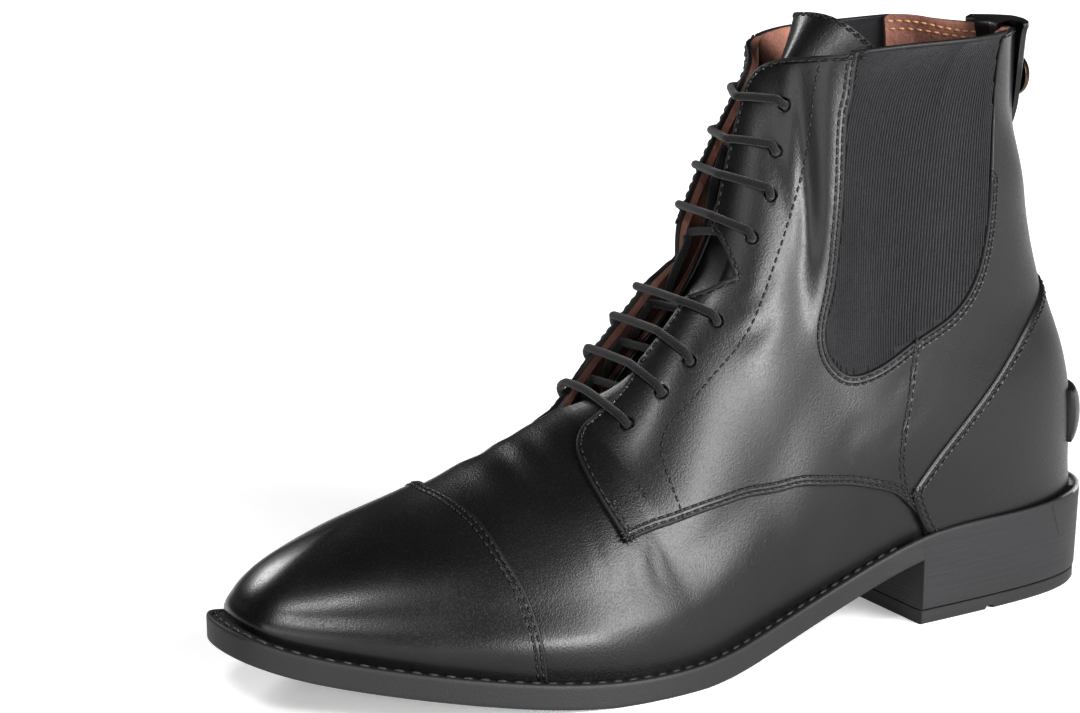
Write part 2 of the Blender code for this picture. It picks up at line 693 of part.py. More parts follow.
def tongue_grid(lift):
    turns = np.linspace(TONGUE_EDGE_TURN, 1, TONGUE_TURNS)
    rows = []
    for section in np.linspace(*TONGUE_SECTIONS, TONGUE_ROWS):
        lateral = lifted(section + 0 * turns, turns, LATERAL, lift + 0 * turns)
        medial = lifted(section + 0 * turns, turns, MEDIAL, lift + 0 * turns)
        crown = (lateral[-1] + medial[-1]) / 2
        crown += (lateral[-1] - lateral[-2] + medial[-1] - medial[-2]) * TONGUE_CROWN
        rows.append(np.concatenate([lateral[:-1], [crown], medial[-2::-1]]))
    top_row = rows[-1]
    rows += [top_row + np.array(rise) for rise in TONGUE_RISE]
    return np.array(rows)


def lace_bar(number, section, turn):
    """One bar of the lace, over both facings from eyelet to eyelet."""
    lift = OVERLAY_LIFT + LACE_CLEARANCE + LACE_DIAMETER / 2
    turns = np.linspace(turn, 1, LACE_ROUTE_POINTS)
    lateral = lifted(section + 0 * turns, turns, LATERAL, lift + 0 * turns)
    medial = lifted(section + 0 * turns, turns, MEDIAL, lift + 0 * turns)
    middle = (lateral[-1] + medial[-1]) / 2
    route = placed(np.concatenate([lateral, [middle], medial[::-1]]))
    curve = bpy.data.curves.new(f"lace_bar_{number}", "CURVE")
    curve.dimensions = "3D"
    curve.bevel_depth = LACE_DIAMETER / 2 * MM
    curve.bevel_resolution = 2
    curve.use_fill_caps = True
    run = curve.splines.new("POLY")
    run.points.add(len(route) - 1)
    for point, place in zip(run.points, route):
        point.co = (*place, 1.0)
    curve.materials.append(MATERIALS["cord"])
    thing = bpy.data.objects.new(f"lace_bar_{number}", curve)
    BOOT.objects.link(thing)
    return thing


def spur_rest():
    """The half-round ledge across the back of the heel."""
    sections = np.linspace(*SPUR_SECTIONS, SPUR_STEPS)
    turns = np.linspace(*SPUR_TURNS, SPUR_STEPS)
    half_round = np.sqrt(np.clip(1 - np.linspace(-1, 1, SPUR_STEPS) ** 2, 0, 1))
    taper = np.sqrt(np.linspace(0, 1, SPUR_STEPS))[:, None]
    stand = SPUR_EDGE + (SPUR_STAND_OFF - SPUR_EDGE) * half_round * taper
    rings = []
    for side, order in ((LATERAL, range(SPUR_STEPS)), (MEDIAL, range(SPUR_STEPS - 2, -1, -1))):
        for i in order:
            outer = lifted(sections[i] + 0 * turns, turns, side, SPUR_BASE_LIFT + stand[i])
            inner = lifted(sections[i] + 0 * turns, turns, side, SPUR_BASE_LIFT + 0 * turns)
            rings.append(np.concatenate([outer, inner[::-1]]))
    return finish("spur_rest", to_mesh("spur_rest", ring_loft(rings, False)), "leather")


def back_tab():
    """The strap folded over the collar at the back seam, its pointed end outside."""
    return shell("back_tab", [tab_grid(0.0)], [tab_grid(TAB_THICKNESS)], "leather")


def tab_grid(depth):
    """The strap's visible face (depth 0) or the face that lies against the boot."""
    outside = np.linspace(TAB_TIP_TURN, TAB_FOLD_TURN, TAB_OUTSIDE_ROWS)
    tip = np.interp(range(TAB_OUTSIDE_ROWS), range(len(TAB_POINT)), TAB_POINT)
    inside = np.linspace(TAB_FOLD_TURN, TAB_INSIDE_TURN, TAB_INSIDE_ROWS)
    inner_lift = VAMP_LIFT - WALL - 2 * GAP - TAB_THICKNESS
    middle = (TAB_LIFT + inner_lift) / 2
    bend = (TAB_LIFT - inner_lift) / 2 - depth
    widths = np.linspace(-1, 1, TAB_COLUMNS)
    rows = [tab_row(turn, TAB_LIFT - depth, width * widths, 0.0) for turn, width in zip(outside, tip)]
    for angle in TAB_FOLD_ANGLES:
        swing = math.radians(angle)
        rows.append(tab_row(1.0, middle + bend * math.cos(swing), widths, TAB_FOLD + bend * math.sin(swing)))
    rows += [tab_row(turn, inner_lift + depth, widths, 0.0) for turn in inside]
    return np.array(rows)


def tab_row(turn, lift, widths, rise):
    """Points across the tab at one turn: the inner side first, then the outer side."""
    row = []
    for width in widths:
        side = LATERAL if width >= 0 else MEDIAL
        section = BACK - abs(width) * (BACK - TAB_EDGE)
        point = lifted(np.array([section]), np.array([turn]), side, np.array([lift]))[0]
        row.append(point + np.array((0.0, 0.0, rise)))
    return row


def snap_cap():
    """The press stud's cap on the tab."""
    seat = np.array([float(BACK)])
    turn = np.array([SNAP_TURN])
    normal = Vector(last_normal(seat, turn, LATERAL)[0])
    middle = lifted(seat, turn, LATERAL, np.array([TAB_LIFT + GAP + SNAP_HEIGHT / 2]))[0]
    bpy.ops.mesh.primitive_cylinder_add(
        vertices=SNAP_SIDES, radius=SNAP_DIAMETER / 2 * MM, depth=SNAP_HEIGHT * MM)
    thing = bpy.context.active_object
    thing.name = "snap_cap"
    thing.location = placed(middle)
    thing.rotation_euler = normal.to_track_quat("Z", "Y").to_euler()
    rounding = thing.modifiers.new("rounding", "BEVEL")
    rounding.width = SNAP_ROUNDING * MM
    rounding.segments = 1
    thing.data.materials.append(MATERIALS["metal"])
    thing.data.shade_smooth()
    for group in list(thing.users_collection):
        group.objects.unlink(thing)
    BOOT.objects.link(thing)
    return thing


for old in list(bpy.data.objects):
    bpy.data.objects.remove(old, do_unlink=True)

BOOT = collection("jodhpur_boot")
CUTTERS = collection("cutters")
MATERIALS = {name: material(name) for name in COLOURS}

outsole()
heel_top_piece()
welt()
insole()
WINDOWS = {side: gore_cutter(side) for side in SIDES}
NOTCHES = {side: notch_cutter(side) for side in SIDES}
cut(upper(), [*WINDOWS.values(), *NOTCHES.values()])
toe_cap()
cut(quarter("quarter_lateral", LATERAL), [WINDOWS[LATERAL], NOTCHES[LATERAL]])
cut(quarter("quarter_medial", MEDIAL), [WINDOWS[MEDIAL], NOTCHES[MEDIAL]])
counter()
gore("elastic_gore_lateral", LATERAL)
gore("elastic_gore_medial", MEDIAL)
tongue()
for bar_number, (bar_section, bar_turn) in enumerate(EYELET_TABLE, start=1):
    lace_bar(bar_number, bar_section, bar_turn)
spur_rest()
back_tab()
snap_cap()
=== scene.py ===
import math

import bmesh
import bpy
import numpy as np
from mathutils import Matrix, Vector
from mathutils.kdtree import KDTree


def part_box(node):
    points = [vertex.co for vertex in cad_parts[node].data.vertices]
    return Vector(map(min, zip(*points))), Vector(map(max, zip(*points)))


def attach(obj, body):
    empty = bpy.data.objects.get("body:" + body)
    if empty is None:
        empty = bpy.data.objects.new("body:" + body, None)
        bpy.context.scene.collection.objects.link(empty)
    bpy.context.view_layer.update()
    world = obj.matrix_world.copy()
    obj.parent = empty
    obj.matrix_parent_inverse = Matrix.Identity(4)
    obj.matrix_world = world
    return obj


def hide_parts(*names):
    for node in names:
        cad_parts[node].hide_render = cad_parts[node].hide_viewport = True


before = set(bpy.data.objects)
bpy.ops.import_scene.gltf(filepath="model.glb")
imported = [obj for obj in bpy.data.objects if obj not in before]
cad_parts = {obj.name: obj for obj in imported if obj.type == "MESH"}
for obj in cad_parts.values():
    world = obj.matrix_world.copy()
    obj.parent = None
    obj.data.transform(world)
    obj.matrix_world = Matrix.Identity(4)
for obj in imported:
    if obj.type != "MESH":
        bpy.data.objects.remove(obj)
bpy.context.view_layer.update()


# Outsole
# One moulded unit of matt black rubber: lip, arch, toe spring and heel block in one piece. The
# heel's sides carry fine level mould lines, and the lip is scuffed pale round the back, that
# paleness partly a painted highlight on the lip.
MM = 0.001
LATERAL, MEDIAL = 1, -1
SIDES = (LATERAL, MEDIAL)
SOLE_LENGTH = 293.0
EDGE_THICKNESS = 7.6
HEEL_SHARE = 0.27
TOP_PIECE_HEIGHT = 4.3
HEEL_TAPER = 1.0
LIP_WIDTH = 1.6
WELT_START = 0.30
WELT_BED_START = 0.295
WELT_BED_DEPTH = 3.0
WELT_TOP_DROP = 0.9
GAP = 0.3
WALL = 2.2
RUBBER = (0.012, 0.012, 0.013, 1.0)
# Colour of the pale scuff on the heel's lip: real wear, and partly a painted highlight
RUBBER_SCUFF_HIGHLIGHT = (0.50, 0.50, 0.48, 1.0)
RUBBER_ROUGHNESS = (0.50, 0.62)
RUBBER_BUMP = (0.35, 0.0006)
CLOUD_RANGE = (-0.3, 0.3)
SOLE_STEPS = 220
BREAST_STEP = 0.002
SIDE_ROWS = 9
# The lip from its bed outwards, and the lower edge, each as inset and distance from the edge's height
LIP_PROFILE = ((LIP_WIDTH - 0.1, 0.5), (LIP_WIDTH - 0.35, 0.12), (0.85, 0.0),
               (0.40, 0.14), (0.10, 0.5), (0.0, 1.1))
LOWER_EDGE = ((0.0, 0.8), (0.15, 0.3), (0.8, 0.0), (3.0, 0.0))
# Mould lines fade in towards the heel between two places along the boot, in metres
MOULD_LINES_FROM = (0.03, 0.06)
FOREPART_LINES = 0.15
MOULD_LINE_STRETCH = (9.0, 9.0, 900.0)
OUTSOLE_LINES = 0.9
TORN_SCALE = 520.0
SCUFF_HIGHLIGHT_SHARE = 0.075
SCUFF_HIGHLIGHT_HEIGHT = 1.3
# The scratch on the heel's outer side, its lower and upper end as length and height in metres
SCRATCH_LOW = (0.1252, 0.0187)
SCRATCH_HIGH = (0.1210, 0.0292)
SCRATCH_HALF_WIDTH = (0.15, 0.6)
SCRATCH_STRENGTH = 0.7

SOLE_COLUMNS = ("share", "lateral", "medial")
SOLE_TABLE = (
    (0.03, 17.8, 17.0),
    (0.08, 25.6, 24.5),
    (0.16, 30.4, 29.5),
    (0.27, 33.8, 30.5),
    (0.38, 37.2, 28.5),
    (0.48, 44.0, 30.0),
    (0.58, 52.0, 36.5),
    (0.66, 53.2, 42.5),
    (0.74, 49.0, 45.2),
    (0.82, 41.2, 42.5),
    (0.90, 30.8, 34.0),
    (0.96, 21.2, 23.5),
    (0.99, 13.0, 14.0),
)
UNDERSIDE_COLUMNS = ("share", "height", "ledge")
UNDERSIDE_TABLE = (
    (0.00, 24.2, 4.8),
    (0.14, 22.4, 3.4),
    (0.27, 20.6, 2.6),
    (0.36, 13.3, 2.8),
    (0.45, 5.8, 3.3),
    (0.53, 0.9, 3.7),
    (0.60, -0.3, 4.0),
    (0.66, -0.1, 4.1),
    (0.72, 1.2, 4.2),
    (0.80, 4.4, 4.4),
    (0.90, 9.7, 4.9),
    (0.96, 14.2, 5.3),
    (1.00, 18.6, 5.6),
)


def spline(places, values):
    """A natural cubic spline through the given places and values."""
    places = np.asarray(places, float)
    values = np.asarray(values, float)
    spans = np.diff(places)
    count = len(places)
    matrix = np.eye(count)
    right = np.zeros(count)
    for i in range(1, count - 1):
        matrix[i, i - 1:i + 2] = spans[i - 1], 2 * (spans[i - 1] + spans[i]), spans[i]
        right[i] = 6 * ((values[i + 1] - values[i]) / spans[i] - (values[i] - values[i - 1]) / spans[i - 1])
    bends = np.linalg.solve(matrix, right)

    def value(place):
        place = np.asarray(place, float)
        i = np.clip(np.searchsorted(places, place) - 1, 0, count - 2)
        ahead = places[i + 1] - place
        behind = place - places[i]
        span = spans[i]
        curve = (bends[i] * ahead ** 3 + bends[i + 1] * behind ** 3) / (6 * span)
        start = (values[i] / span - bends[i] * span / 6) * ahead
        end = (values[i + 1] / span - bends[i + 1] * span / 6) * behind
        return curve + start + end

    return value


def column(table, columns, name):
    return [row[columns.index(name)] for row in table]


def angle_of(share):
    """Angle round the sole's outline at a share of its length: 0 at the heel, pi at the toe."""
    return np.arccos(1 - 2 * np.clip(share, 0, 1))


def share_of(angle):
    return (1 - np.cos(angle)) / 2


def half_width(side_name):
    angles = [0.0] + [float(angle_of(s)) for s in column(SOLE_TABLE, SOLE_COLUMNS, "share")] + [math.pi]
    return spline(angles, [0.0] + column(SOLE_TABLE, SOLE_COLUMNS, side_name) + [0.0])


HALF_WIDTH = {LATERAL: half_width("lateral"), MEDIAL: half_width("medial")}
UNDERSIDE_SHARES = column(UNDERSIDE_TABLE, UNDERSIDE_COLUMNS, "share")
UNDERSIDE_CURVE = spline(UNDERSIDE_SHARES, column(UNDERSIDE_TABLE, UNDERSIDE_COLUMNS, "height"))
LEDGE_CURVE = spline(UNDERSIDE_SHARES, column(UNDERSIDE_TABLE, UNDERSIDE_COLUMNS, "ledge"))
BREAST_ANGLE = float(angle_of(HEEL_SHARE))
EVEN_ANGLES = np.linspace(0, math.pi, SOLE_STEPS + 1)
SOLE_ANGLES = np.sort(np.concatenate([
    EVEN_ANGLES[np.abs(EVEN_ANGLES - BREAST_ANGLE) > 3 * BREAST_STEP],
    [BREAST_ANGLE - BREAST_STEP, BREAST_ANGLE + BREAST_STEP]]))
SOLE_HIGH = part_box("outsole")[1]
ORIGIN = np.array((SOLE_HIGH.x / MM - HALF_WIDTH[LATERAL](EVEN_ANGLES).max(), SOLE_HIGH.y / MM, 0.0))


def placed(points):
    """Boot millimetres (x to the outer side, y back from the heel's end) to the frame's metres."""
    return (np.asarray(points, float) + ORIGIN) * MM


def rim(share):
    return UNDERSIDE_CURVE(share) + EDGE_THICKNESS


def smooth_step(value):
    value = np.clip(value, 0, 1)
    return value * value * (3 - 2 * value)


def outline(side, angle, inset):
    """Plan points of the sole's edge, moved inwards by the inset, with the outward direction."""
    angle = np.asarray(angle, float)
    step = 1e-3

    def edge(a):
        a = np.clip(a, 0, math.pi)
        return np.stack([side * HALF_WIDTH[side](a), -SOLE_LENGTH * share_of(a)], -1)

    along = edge(angle + step) - edge(angle - step)
    along /= np.linalg.norm(along, axis=-1, keepdims=True)
    outward = np.stack([-along[..., 1], along[..., 0]], -1) * side
    at_end = (angle < step) | (angle > math.pi - step)
    straight = np.stack([np.zeros_like(angle), np.where(angle < 1.0, 1.0, -1.0)], -1)
    outward = np.where(at_end[..., None], straight, outward)
    return edge(angle) - np.asarray(inset)[..., None] * outward, outward


def around(angles, inset, height):
    """A loop round the sole: heel to toe on the outer side and back on the inner side."""
    share = share_of(angles)
    inset = inset + 0 * share
    height = height + 0 * share
    lateral = np.c_[outline(LATERAL, angles, inset)[0], height]
    medial = np.c_[outline(MEDIAL, angles, inset)[0], height]
    back_part = medial[-2:0:-1] if angles[-1] > math.pi - BREAST_STEP else medial[:0:-1]
    return np.concatenate([lateral, back_part])


def ring_loft(loops, capped_across):
    """A closed form through loops of equal length, capped from side to side or by one face."""
    form = bmesh.new()
    rows = [[form.verts.new(p) for p in placed(loop)] for loop in loops]
    count = len(rows[0])
    for lower, upper in zip(rows, rows[1:]):
        for i in range(count):
            j = (i + 1) % count
            form.faces.new((lower[i], lower[j], upper[j], upper[i]))
    for row in (rows[0], rows[-1]):
        if not capped_across:
            form.faces.new(row)
            continue
        for i in range(count // 2):
            corners = [row[i], row[i + 1], row[-i - 1], row[-i]]
            form.faces.new(list(dict.fromkeys(corners)))
    return form


def finish_piece(name, form, looks, sharp, slot, *nodes):
    """Make a form a piece of the boot: its mesh, its materials, and what it stands for."""
    bmesh.ops.recalc_face_normals(form, faces=form.faces)
    mesh = bpy.data.meshes.new(name)
    form.to_mesh(mesh)
    form.free()
    piece = bpy.data.objects.new(name, mesh)
    bpy.context.scene.collection.objects.link(piece)
    for look in looks:
        mesh.materials.append(look)
    mesh.shade_smooth()
    mesh.set_sharp_from_angle(angle=math.radians(sharp))
    return carried(piece, slot, *nodes)


def carried(piece, slot, *nodes):
    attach(piece, "root")
    if nodes:
        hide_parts(*nodes)
    return piece


def node(tree, kind, inputs=(), **settings):
    """Add a node. Inputs map a socket's name or number to a value, or to the output that feeds it."""
    made = tree.nodes.new(kind)
    for name, value in settings.items():
        setattr(made, name, value)
    for name, value in dict(inputs).items():
        if isinstance(value, bpy.types.NodeSocket):
            tree.links.new(value, made.inputs[name])
        else:
            made.inputs[name].default_value = value
    return made


def maths(tree, operation, first, second=0.0, clamp=False):
    made = node(tree, "ShaderNodeMath", {0: first, 1: second}, operation=operation, use_clamp=clamp)
    return made.outputs[0]


def remap(tree, value, low, high, new_low, new_high):
    return node(tree, "ShaderNodeMapRange", {"Value": value, "From Min": low, "From Max": high,
                                             "To Min": new_low, "To Max": new_high}).outputs["Result"]


def shaded(colour, factor):
    return tuple(factor * part for part in colour[:3]) + (1.0,)


def blend_colours(tree, share, first, second):
    return node(tree, "ShaderNodeMix", {"Factor": share, 6: first, 7: second}, data_type="RGBA").outputs[2]


def noise(tree, place, scale, detail=3.0, roughness=0.55):
    return node(tree, "ShaderNodeTexNoise", {"Vector": place, "Scale": scale, "Detail": detail,
                                             "Roughness": roughness}).outputs["Fac"]


def stretched(tree, scale=(1.0, 1.0, 1.0)):
    """Object coordinates, drawn out or squeezed along the axes."""
    place = node(tree, "ShaderNodeTexCoord").outputs["Object"]
    return node(tree, "ShaderNodeMapping", {"Vector": place, "Scale": scale}).outputs["Vector"]


def coordinate(tree, axis):
    return node(tree, "ShaderNodeSeparateXYZ", {0: stretched(tree)}).outputs[axis]


def attribute(tree, name):
    return node(tree, "ShaderNodeAttribute", attribute_name=name).outputs["Fac"]


def new_material(name, **plain):
    """A Principled material; plain values go on the shader's own sockets."""
    made = bpy.data.materials.new(name)
    made.use_nodes = True
    tree = made.node_tree
    shader = tree.nodes["Principled BSDF"]
    for socket, value in plain.items():
        shader.inputs[socket.replace("_", " ")].default_value = value
    return made, tree, shader


def bump(tree, shader, height, strength, distance):
    """Feed a height, in units of the distance, to the shader's normal."""
    made = node(tree, "ShaderNodeBump", {"Height": height, "Strength": strength, "Distance": distance})
    tree.links.new(made.outputs["Normal"], shader.inputs["Normal"])


def new_group(name, inputs, outputs):
    """An empty shader node group with named sockets."""
    tree = bpy.data.node_groups.new(name, "ShaderNodeTree")
    for socket, value in inputs.items():
        tree.interface.new_socket(socket, in_out="INPUT", socket_type="NodeSocketFloat").default_value = value
    for socket in outputs:
        tree.interface.new_socket(socket, in_out="OUTPUT", socket_type="NodeSocketFloat")
    return tree, node(tree, "NodeGroupInput"), node(tree, "NodeGroupOutput")


def use_group(tree, group, inputs=()):
    return node(tree, "ShaderNodeGroup", inputs, node_tree=group)


def cloudiness_group():
    """Soft unevenness of a surface: broad clouds with a fine speckle, around zero."""
    sizes = {"Cloud Size": 60.0, "Speckle Size": 900.0}
    tree, start, end = new_group("cloudiness", sizes, ["Clouds", "Speckle"])
    place = node(tree, "ShaderNodeTexCoord").outputs["Object"]
    clouds = noise(tree, place, start.outputs["Cloud Size"])
    speckle = noise(tree, place, start.outputs["Speckle Size"], 2.0)
    tree.links.new(maths(tree, "SUBTRACT", clouds, 0.5), end.inputs["Clouds"])
    tree.links.new(maths(tree, "SUBTRACT", speckle, 0.5), end.inputs["Speckle"])
    return tree


CLOUDINESS = cloudiness_group()


def scratch_mask(tree):
    """The short leaning scratch on the heel's outer side: 0 off it, up to its strength on it."""
    along = coordinate(tree, "Y")
    height = coordinate(tree, "Z")
    lean = (SCRATCH_HIGH[0] - SCRATCH_LOW[0]) / (SCRATCH_HIGH[1] - SCRATCH_LOW[1])
    up_line = maths(tree, "MULTIPLY", maths(tree, "SUBTRACT", height, SCRATCH_LOW[1]), lean)
    off_line = maths(tree, "SUBTRACT", maths(tree, "SUBTRACT", along, SCRATCH_LOW[0]), up_line)
    near, far = (width * MM for width in SCRATCH_HALF_WIDTH)
    scratch = remap(tree, maths(tree, "ABSOLUTE", off_line), near, far, SCRATCH_STRENGTH, 0.0)
    for limit in (maths(tree, "GREATER_THAN", height, SCRATCH_LOW[1]),
                  maths(tree, "LESS_THAN", height, SCRATCH_HIGH[1]),
                  maths(tree, "GREATER_THAN", coordinate(tree, "X"), 0.0)):
        scratch = maths(tree, "MULTIPLY", scratch, limit)
    return scratch


def rubber_material(name, line_strength):
    """Matt black rubber with level mould lines and a pale scuff, partly a painted highlight, where its
    attribute says.
    """
    made, tree, shader = new_material(name, Specular_IOR_Level=0.45)
    cloud = use_group(tree, CLOUDINESS, {"Cloud Size": 45.0, "Speckle Size": 1400.0})
    lines = maths(tree, "MULTIPLY", noise(tree, stretched(tree, MOULD_LINE_STRETCH), 1.0, 4.0, 0.6),
                  remap(tree, coordinate(tree, "Y"), *MOULD_LINES_FROM, FOREPART_LINES, 1.0))
    torn = noise(tree, stretched(tree), TORN_SCALE, 5.0, 0.7)
    scratch = scratch_mask(tree)
    # The scuff mask: real wear on the lip round the back, its paleness partly a painted highlight
    scuff_highlight = maths(tree, "MULTIPLY", attribute(tree, "scuff_highlight"), remap(tree, torn, 0.28, 0.48, 0.2, 1.0), True)
    tone = maths(tree, "ADD", remap(tree, cloud.outputs["Clouds"], *CLOUD_RANGE, 0.0, 0.5),
                 remap(tree, lines, 0.35, 0.7, 0.0, 0.5 * line_strength))
    colour = blend_colours(tree, tone, RUBBER, shaded(RUBBER, 1.7))
    colour = blend_colours(tree, scratch, colour, shaded(RUBBER, 0.1))
    tree.links.new(blend_colours(tree, scuff_highlight, colour, RUBBER_SCUFF_HIGHLIGHT), shader.inputs["Base Color"])
    rough = maths(tree, "ADD", remap(tree, cloud.outputs["Clouds"], *CLOUD_RANGE, *RUBBER_ROUGHNESS),
                  maths(tree, "MULTIPLY", scuff_highlight, 0.3))
    tree.links.new(rough, shader.inputs["Roughness"])
    height = maths(tree, "ADD", maths(tree, "MULTIPLY", lines, line_strength),
                   maths(tree, "MULTIPLY", cloud.outputs["Speckle"], 0.35))
    height = maths(tree, "ADD", height, maths(tree, "MULTIPLY", scuff_highlight, 1.2))
    height = maths(tree, "SUBTRACT", height, scratch)
    bump(tree, shader, height, *RUBBER_BUMP)
    return made


def outsole():
    share = share_of(SOLE_ANGLES)
    in_heel = share < HEEL_SHARE
    low = np.where(in_heel, TOP_PIECE_HEIGHT + GAP, np.maximum(UNDERSIDE_CURVE(share), 0.0))
    high = rim(share)
    deeper = smooth_step((share - HEEL_SHARE) / (WELT_BED_START - HEEL_SHARE))
    bed = high - WELT_TOP_DROP - (WELT_BED_DEPTH - WELT_TOP_DROP) * deeper
    seat = LEDGE_CURVE(share) + WALL + GAP
    taper = HEEL_TAPER * in_heel
    # Rows as inset from the edge and height, from the bed over the lip and down the side
    rows = [(seat + GAP, high - WELT_TOP_DROP), (seat, bed), (LIP_WIDTH, bed)]
    rows += [(inset, high - drop) for inset, drop in LIP_PROFILE]
    side_top = high - LIP_PROFILE[-1][1]
    side_foot = low + LOWER_EDGE[0][1]
    for part in np.linspace(0, 1, SIDE_ROWS + 2)[1:-1]:
        rows.append((taper * part, side_top + (side_foot - side_top) * part))
    rows += [(taper + inset, low + rise) for inset, rise in LOWER_EDGE]
    form = ring_loft([around(SOLE_ANGLES, inset, height) for inset, height in rows], True)
    # The lip round the heel's back is marked for the pale scuff, which is partly a painted highlight
    scuff_highlight = form.verts.layers.float.new("scuff_highlight")
    tip = placed((0.0, 0.0, 0.0))[1]
    rim_back = placed((0.0, 0.0, float(rim(0.0)) - SCUFF_HIGHLIGHT_HEIGHT))[2]
    for vert in form.verts:
        behind = (tip - vert.co.y) / (SOLE_LENGTH * MM) / SCUFF_HIGHLIGHT_SHARE
        vert[scuff_highlight] = max(0.0, 1.0 - behind) if vert.co.z > rim_back else 0.0
    look = rubber_material("outsole_rubber", OUTSOLE_LINES)
    return finish_piece("outsole_rubber", form, [look], 35, "rubber", "outsole")


outsole()


# Heel top piece
# The wearing piece under the heel, a separate block of harder rubber with a groove line above it
# and a small vent notch in its outer edge.
TOP_PIECE_INSET = 0.4
# Inset and height, from the tread up the side to the joint with the heel
TOP_PIECE_PROFILE = ((3.0, 0.0), (1.0, 0.0), (0.35, 0.12), (0.0, 0.7), (0.0, 2.4),
                     (0.0, TOP_PIECE_HEIGHT - 0.35), (0.3, TOP_PIECE_HEIGHT), (3.0, TOP_PIECE_HEIGHT))
TOP_PIECE_LINES = 0.3
NOTCH_ANGLE = 0.86
NOTCH_HALF = 0.012
NOTCH_CORNERS = (-1.3, -1.0, 1.0, 1.3)
NOTCH_DEPTH = 1.3
NOTCH_REACH = 1.1


def heel_top_piece():
    angles = np.sort(np.concatenate([SOLE_ANGLES[SOLE_ANGLES < BREAST_ANGLE],
                                     NOTCH_ANGLE + NOTCH_HALF * np.array(NOTCH_CORNERS)]))
    notch = NOTCH_DEPTH * (np.abs(angles - NOTCH_ANGLE) < 1.1 * NOTCH_HALF)
    loops = []
    for inset, height in TOP_PIECE_PROFILE:
        cut = notch if inset < NOTCH_REACH else 0.0
        loops.append(around(angles, HEEL_TAPER + TOP_PIECE_INSET + inset, np.maximum(height, cut)))
    look = rubber_material("top_piece_rubber", TOP_PIECE_LINES)
    return finish_piece("heel_top_rubber", ring_loft(loops, True), [look], 35, "rubber", "heel_top_piece")


heel_top_piece()


# Welt
# A flat strip of black leather that lies in the sole's bed and runs from one side of the heel
# round the toe to the other. One row of thick waxed thread holds it to the sole.
WELT_CROWN = 0.25
WELT_CROWN_END = 1.4
WELT_ROWS = 6
WELT_EDGE_GAP = 0.15
WELT_EDGE_DROP = 0.12
WELT_LEATHER = (0.008, 0.008, 0.008, 1.0)
WELT_WORN = (0.020, 0.019, 0.019, 1.0)
WELT_ROUGHNESS = (0.5, 0.7)
WELT_BUMP = (0.3, 0.0003)
WELT_STITCH_INSET = 1.15
WELT_STITCH_LIFT = 0.05
WELT_PITCH = 4.7
WELT_STITCH = (3.6, 1.15)
WELT_THREAD = (0.022, 0.022, 0.022, 1.0)
THREAD = (0.005, 0.005, 0.005, 1.0)
THREAD_BUMP = (0.4, 0.0003)
TWIST_SCALE = 2600.0
PORE_SHAKE_SCALE = 700.0
PORE_SHAKE = (0.0006, 0.0006, 0.0006)
FOLD_SCALE = 240.0


def thread_material(name, colour):
    made, tree, shader = new_material(name, Roughness=0.5, Specular_IOR_Level=0.4)
    twist = noise(tree, stretched(tree), TWIST_SCALE, 1.0)
    tree.links.new(blend_colours(tree, twist, colour, shaded(colour, 2.4)), shader.inputs["Base Color"])
    bump(tree, shader, twist, *THREAD_BUMP)
    return made


def grain_group():
    """Leather grain as a height: small cells with pores, over slow unevenness."""
    sizes = {"Cell Scale": 1500.0, "Cell Depth": 1.0, "Fold Depth": 1.0}
    tree, start, end = new_group("leather_grain", sizes, ["Height", "Pores"])
    place = node(tree, "ShaderNodeTexCoord").outputs["Object"]
    shaken = node(tree, "ShaderNodeTexNoise", {"Vector": place, "Scale": PORE_SHAKE_SCALE, "Detail": 2.0})
    moved = node(tree, "ShaderNodeVectorMath", {0: shaken.outputs["Color"], 1: PORE_SHAKE},
                 operation="MULTIPLY").outputs[0]
    seat = node(tree, "ShaderNodeVectorMath", {0: place, 1: moved}, operation="ADD").outputs[0]
    cells = node(tree, "ShaderNodeTexVoronoi", {"Vector": seat, "Scale": start.outputs["Cell Scale"]},
                 feature="SMOOTH_F1").outputs["Distance"]
    folds = noise(tree, place, FOLD_SCALE, 3.0)
    height = maths(tree, "MULTIPLY", maths(tree, "SUBTRACT", 0.5, cells), start.outputs["Cell Depth"])
    height = maths(tree, "ADD", height, maths(tree, "MULTIPLY", folds, start.outputs["Fold Depth"]))
    tree.links.new(height, end.inputs["Height"])
    tree.links.new(remap(tree, cells, 0.35, 0.75, 0.0, 1.0), end.inputs["Pores"])
    return tree


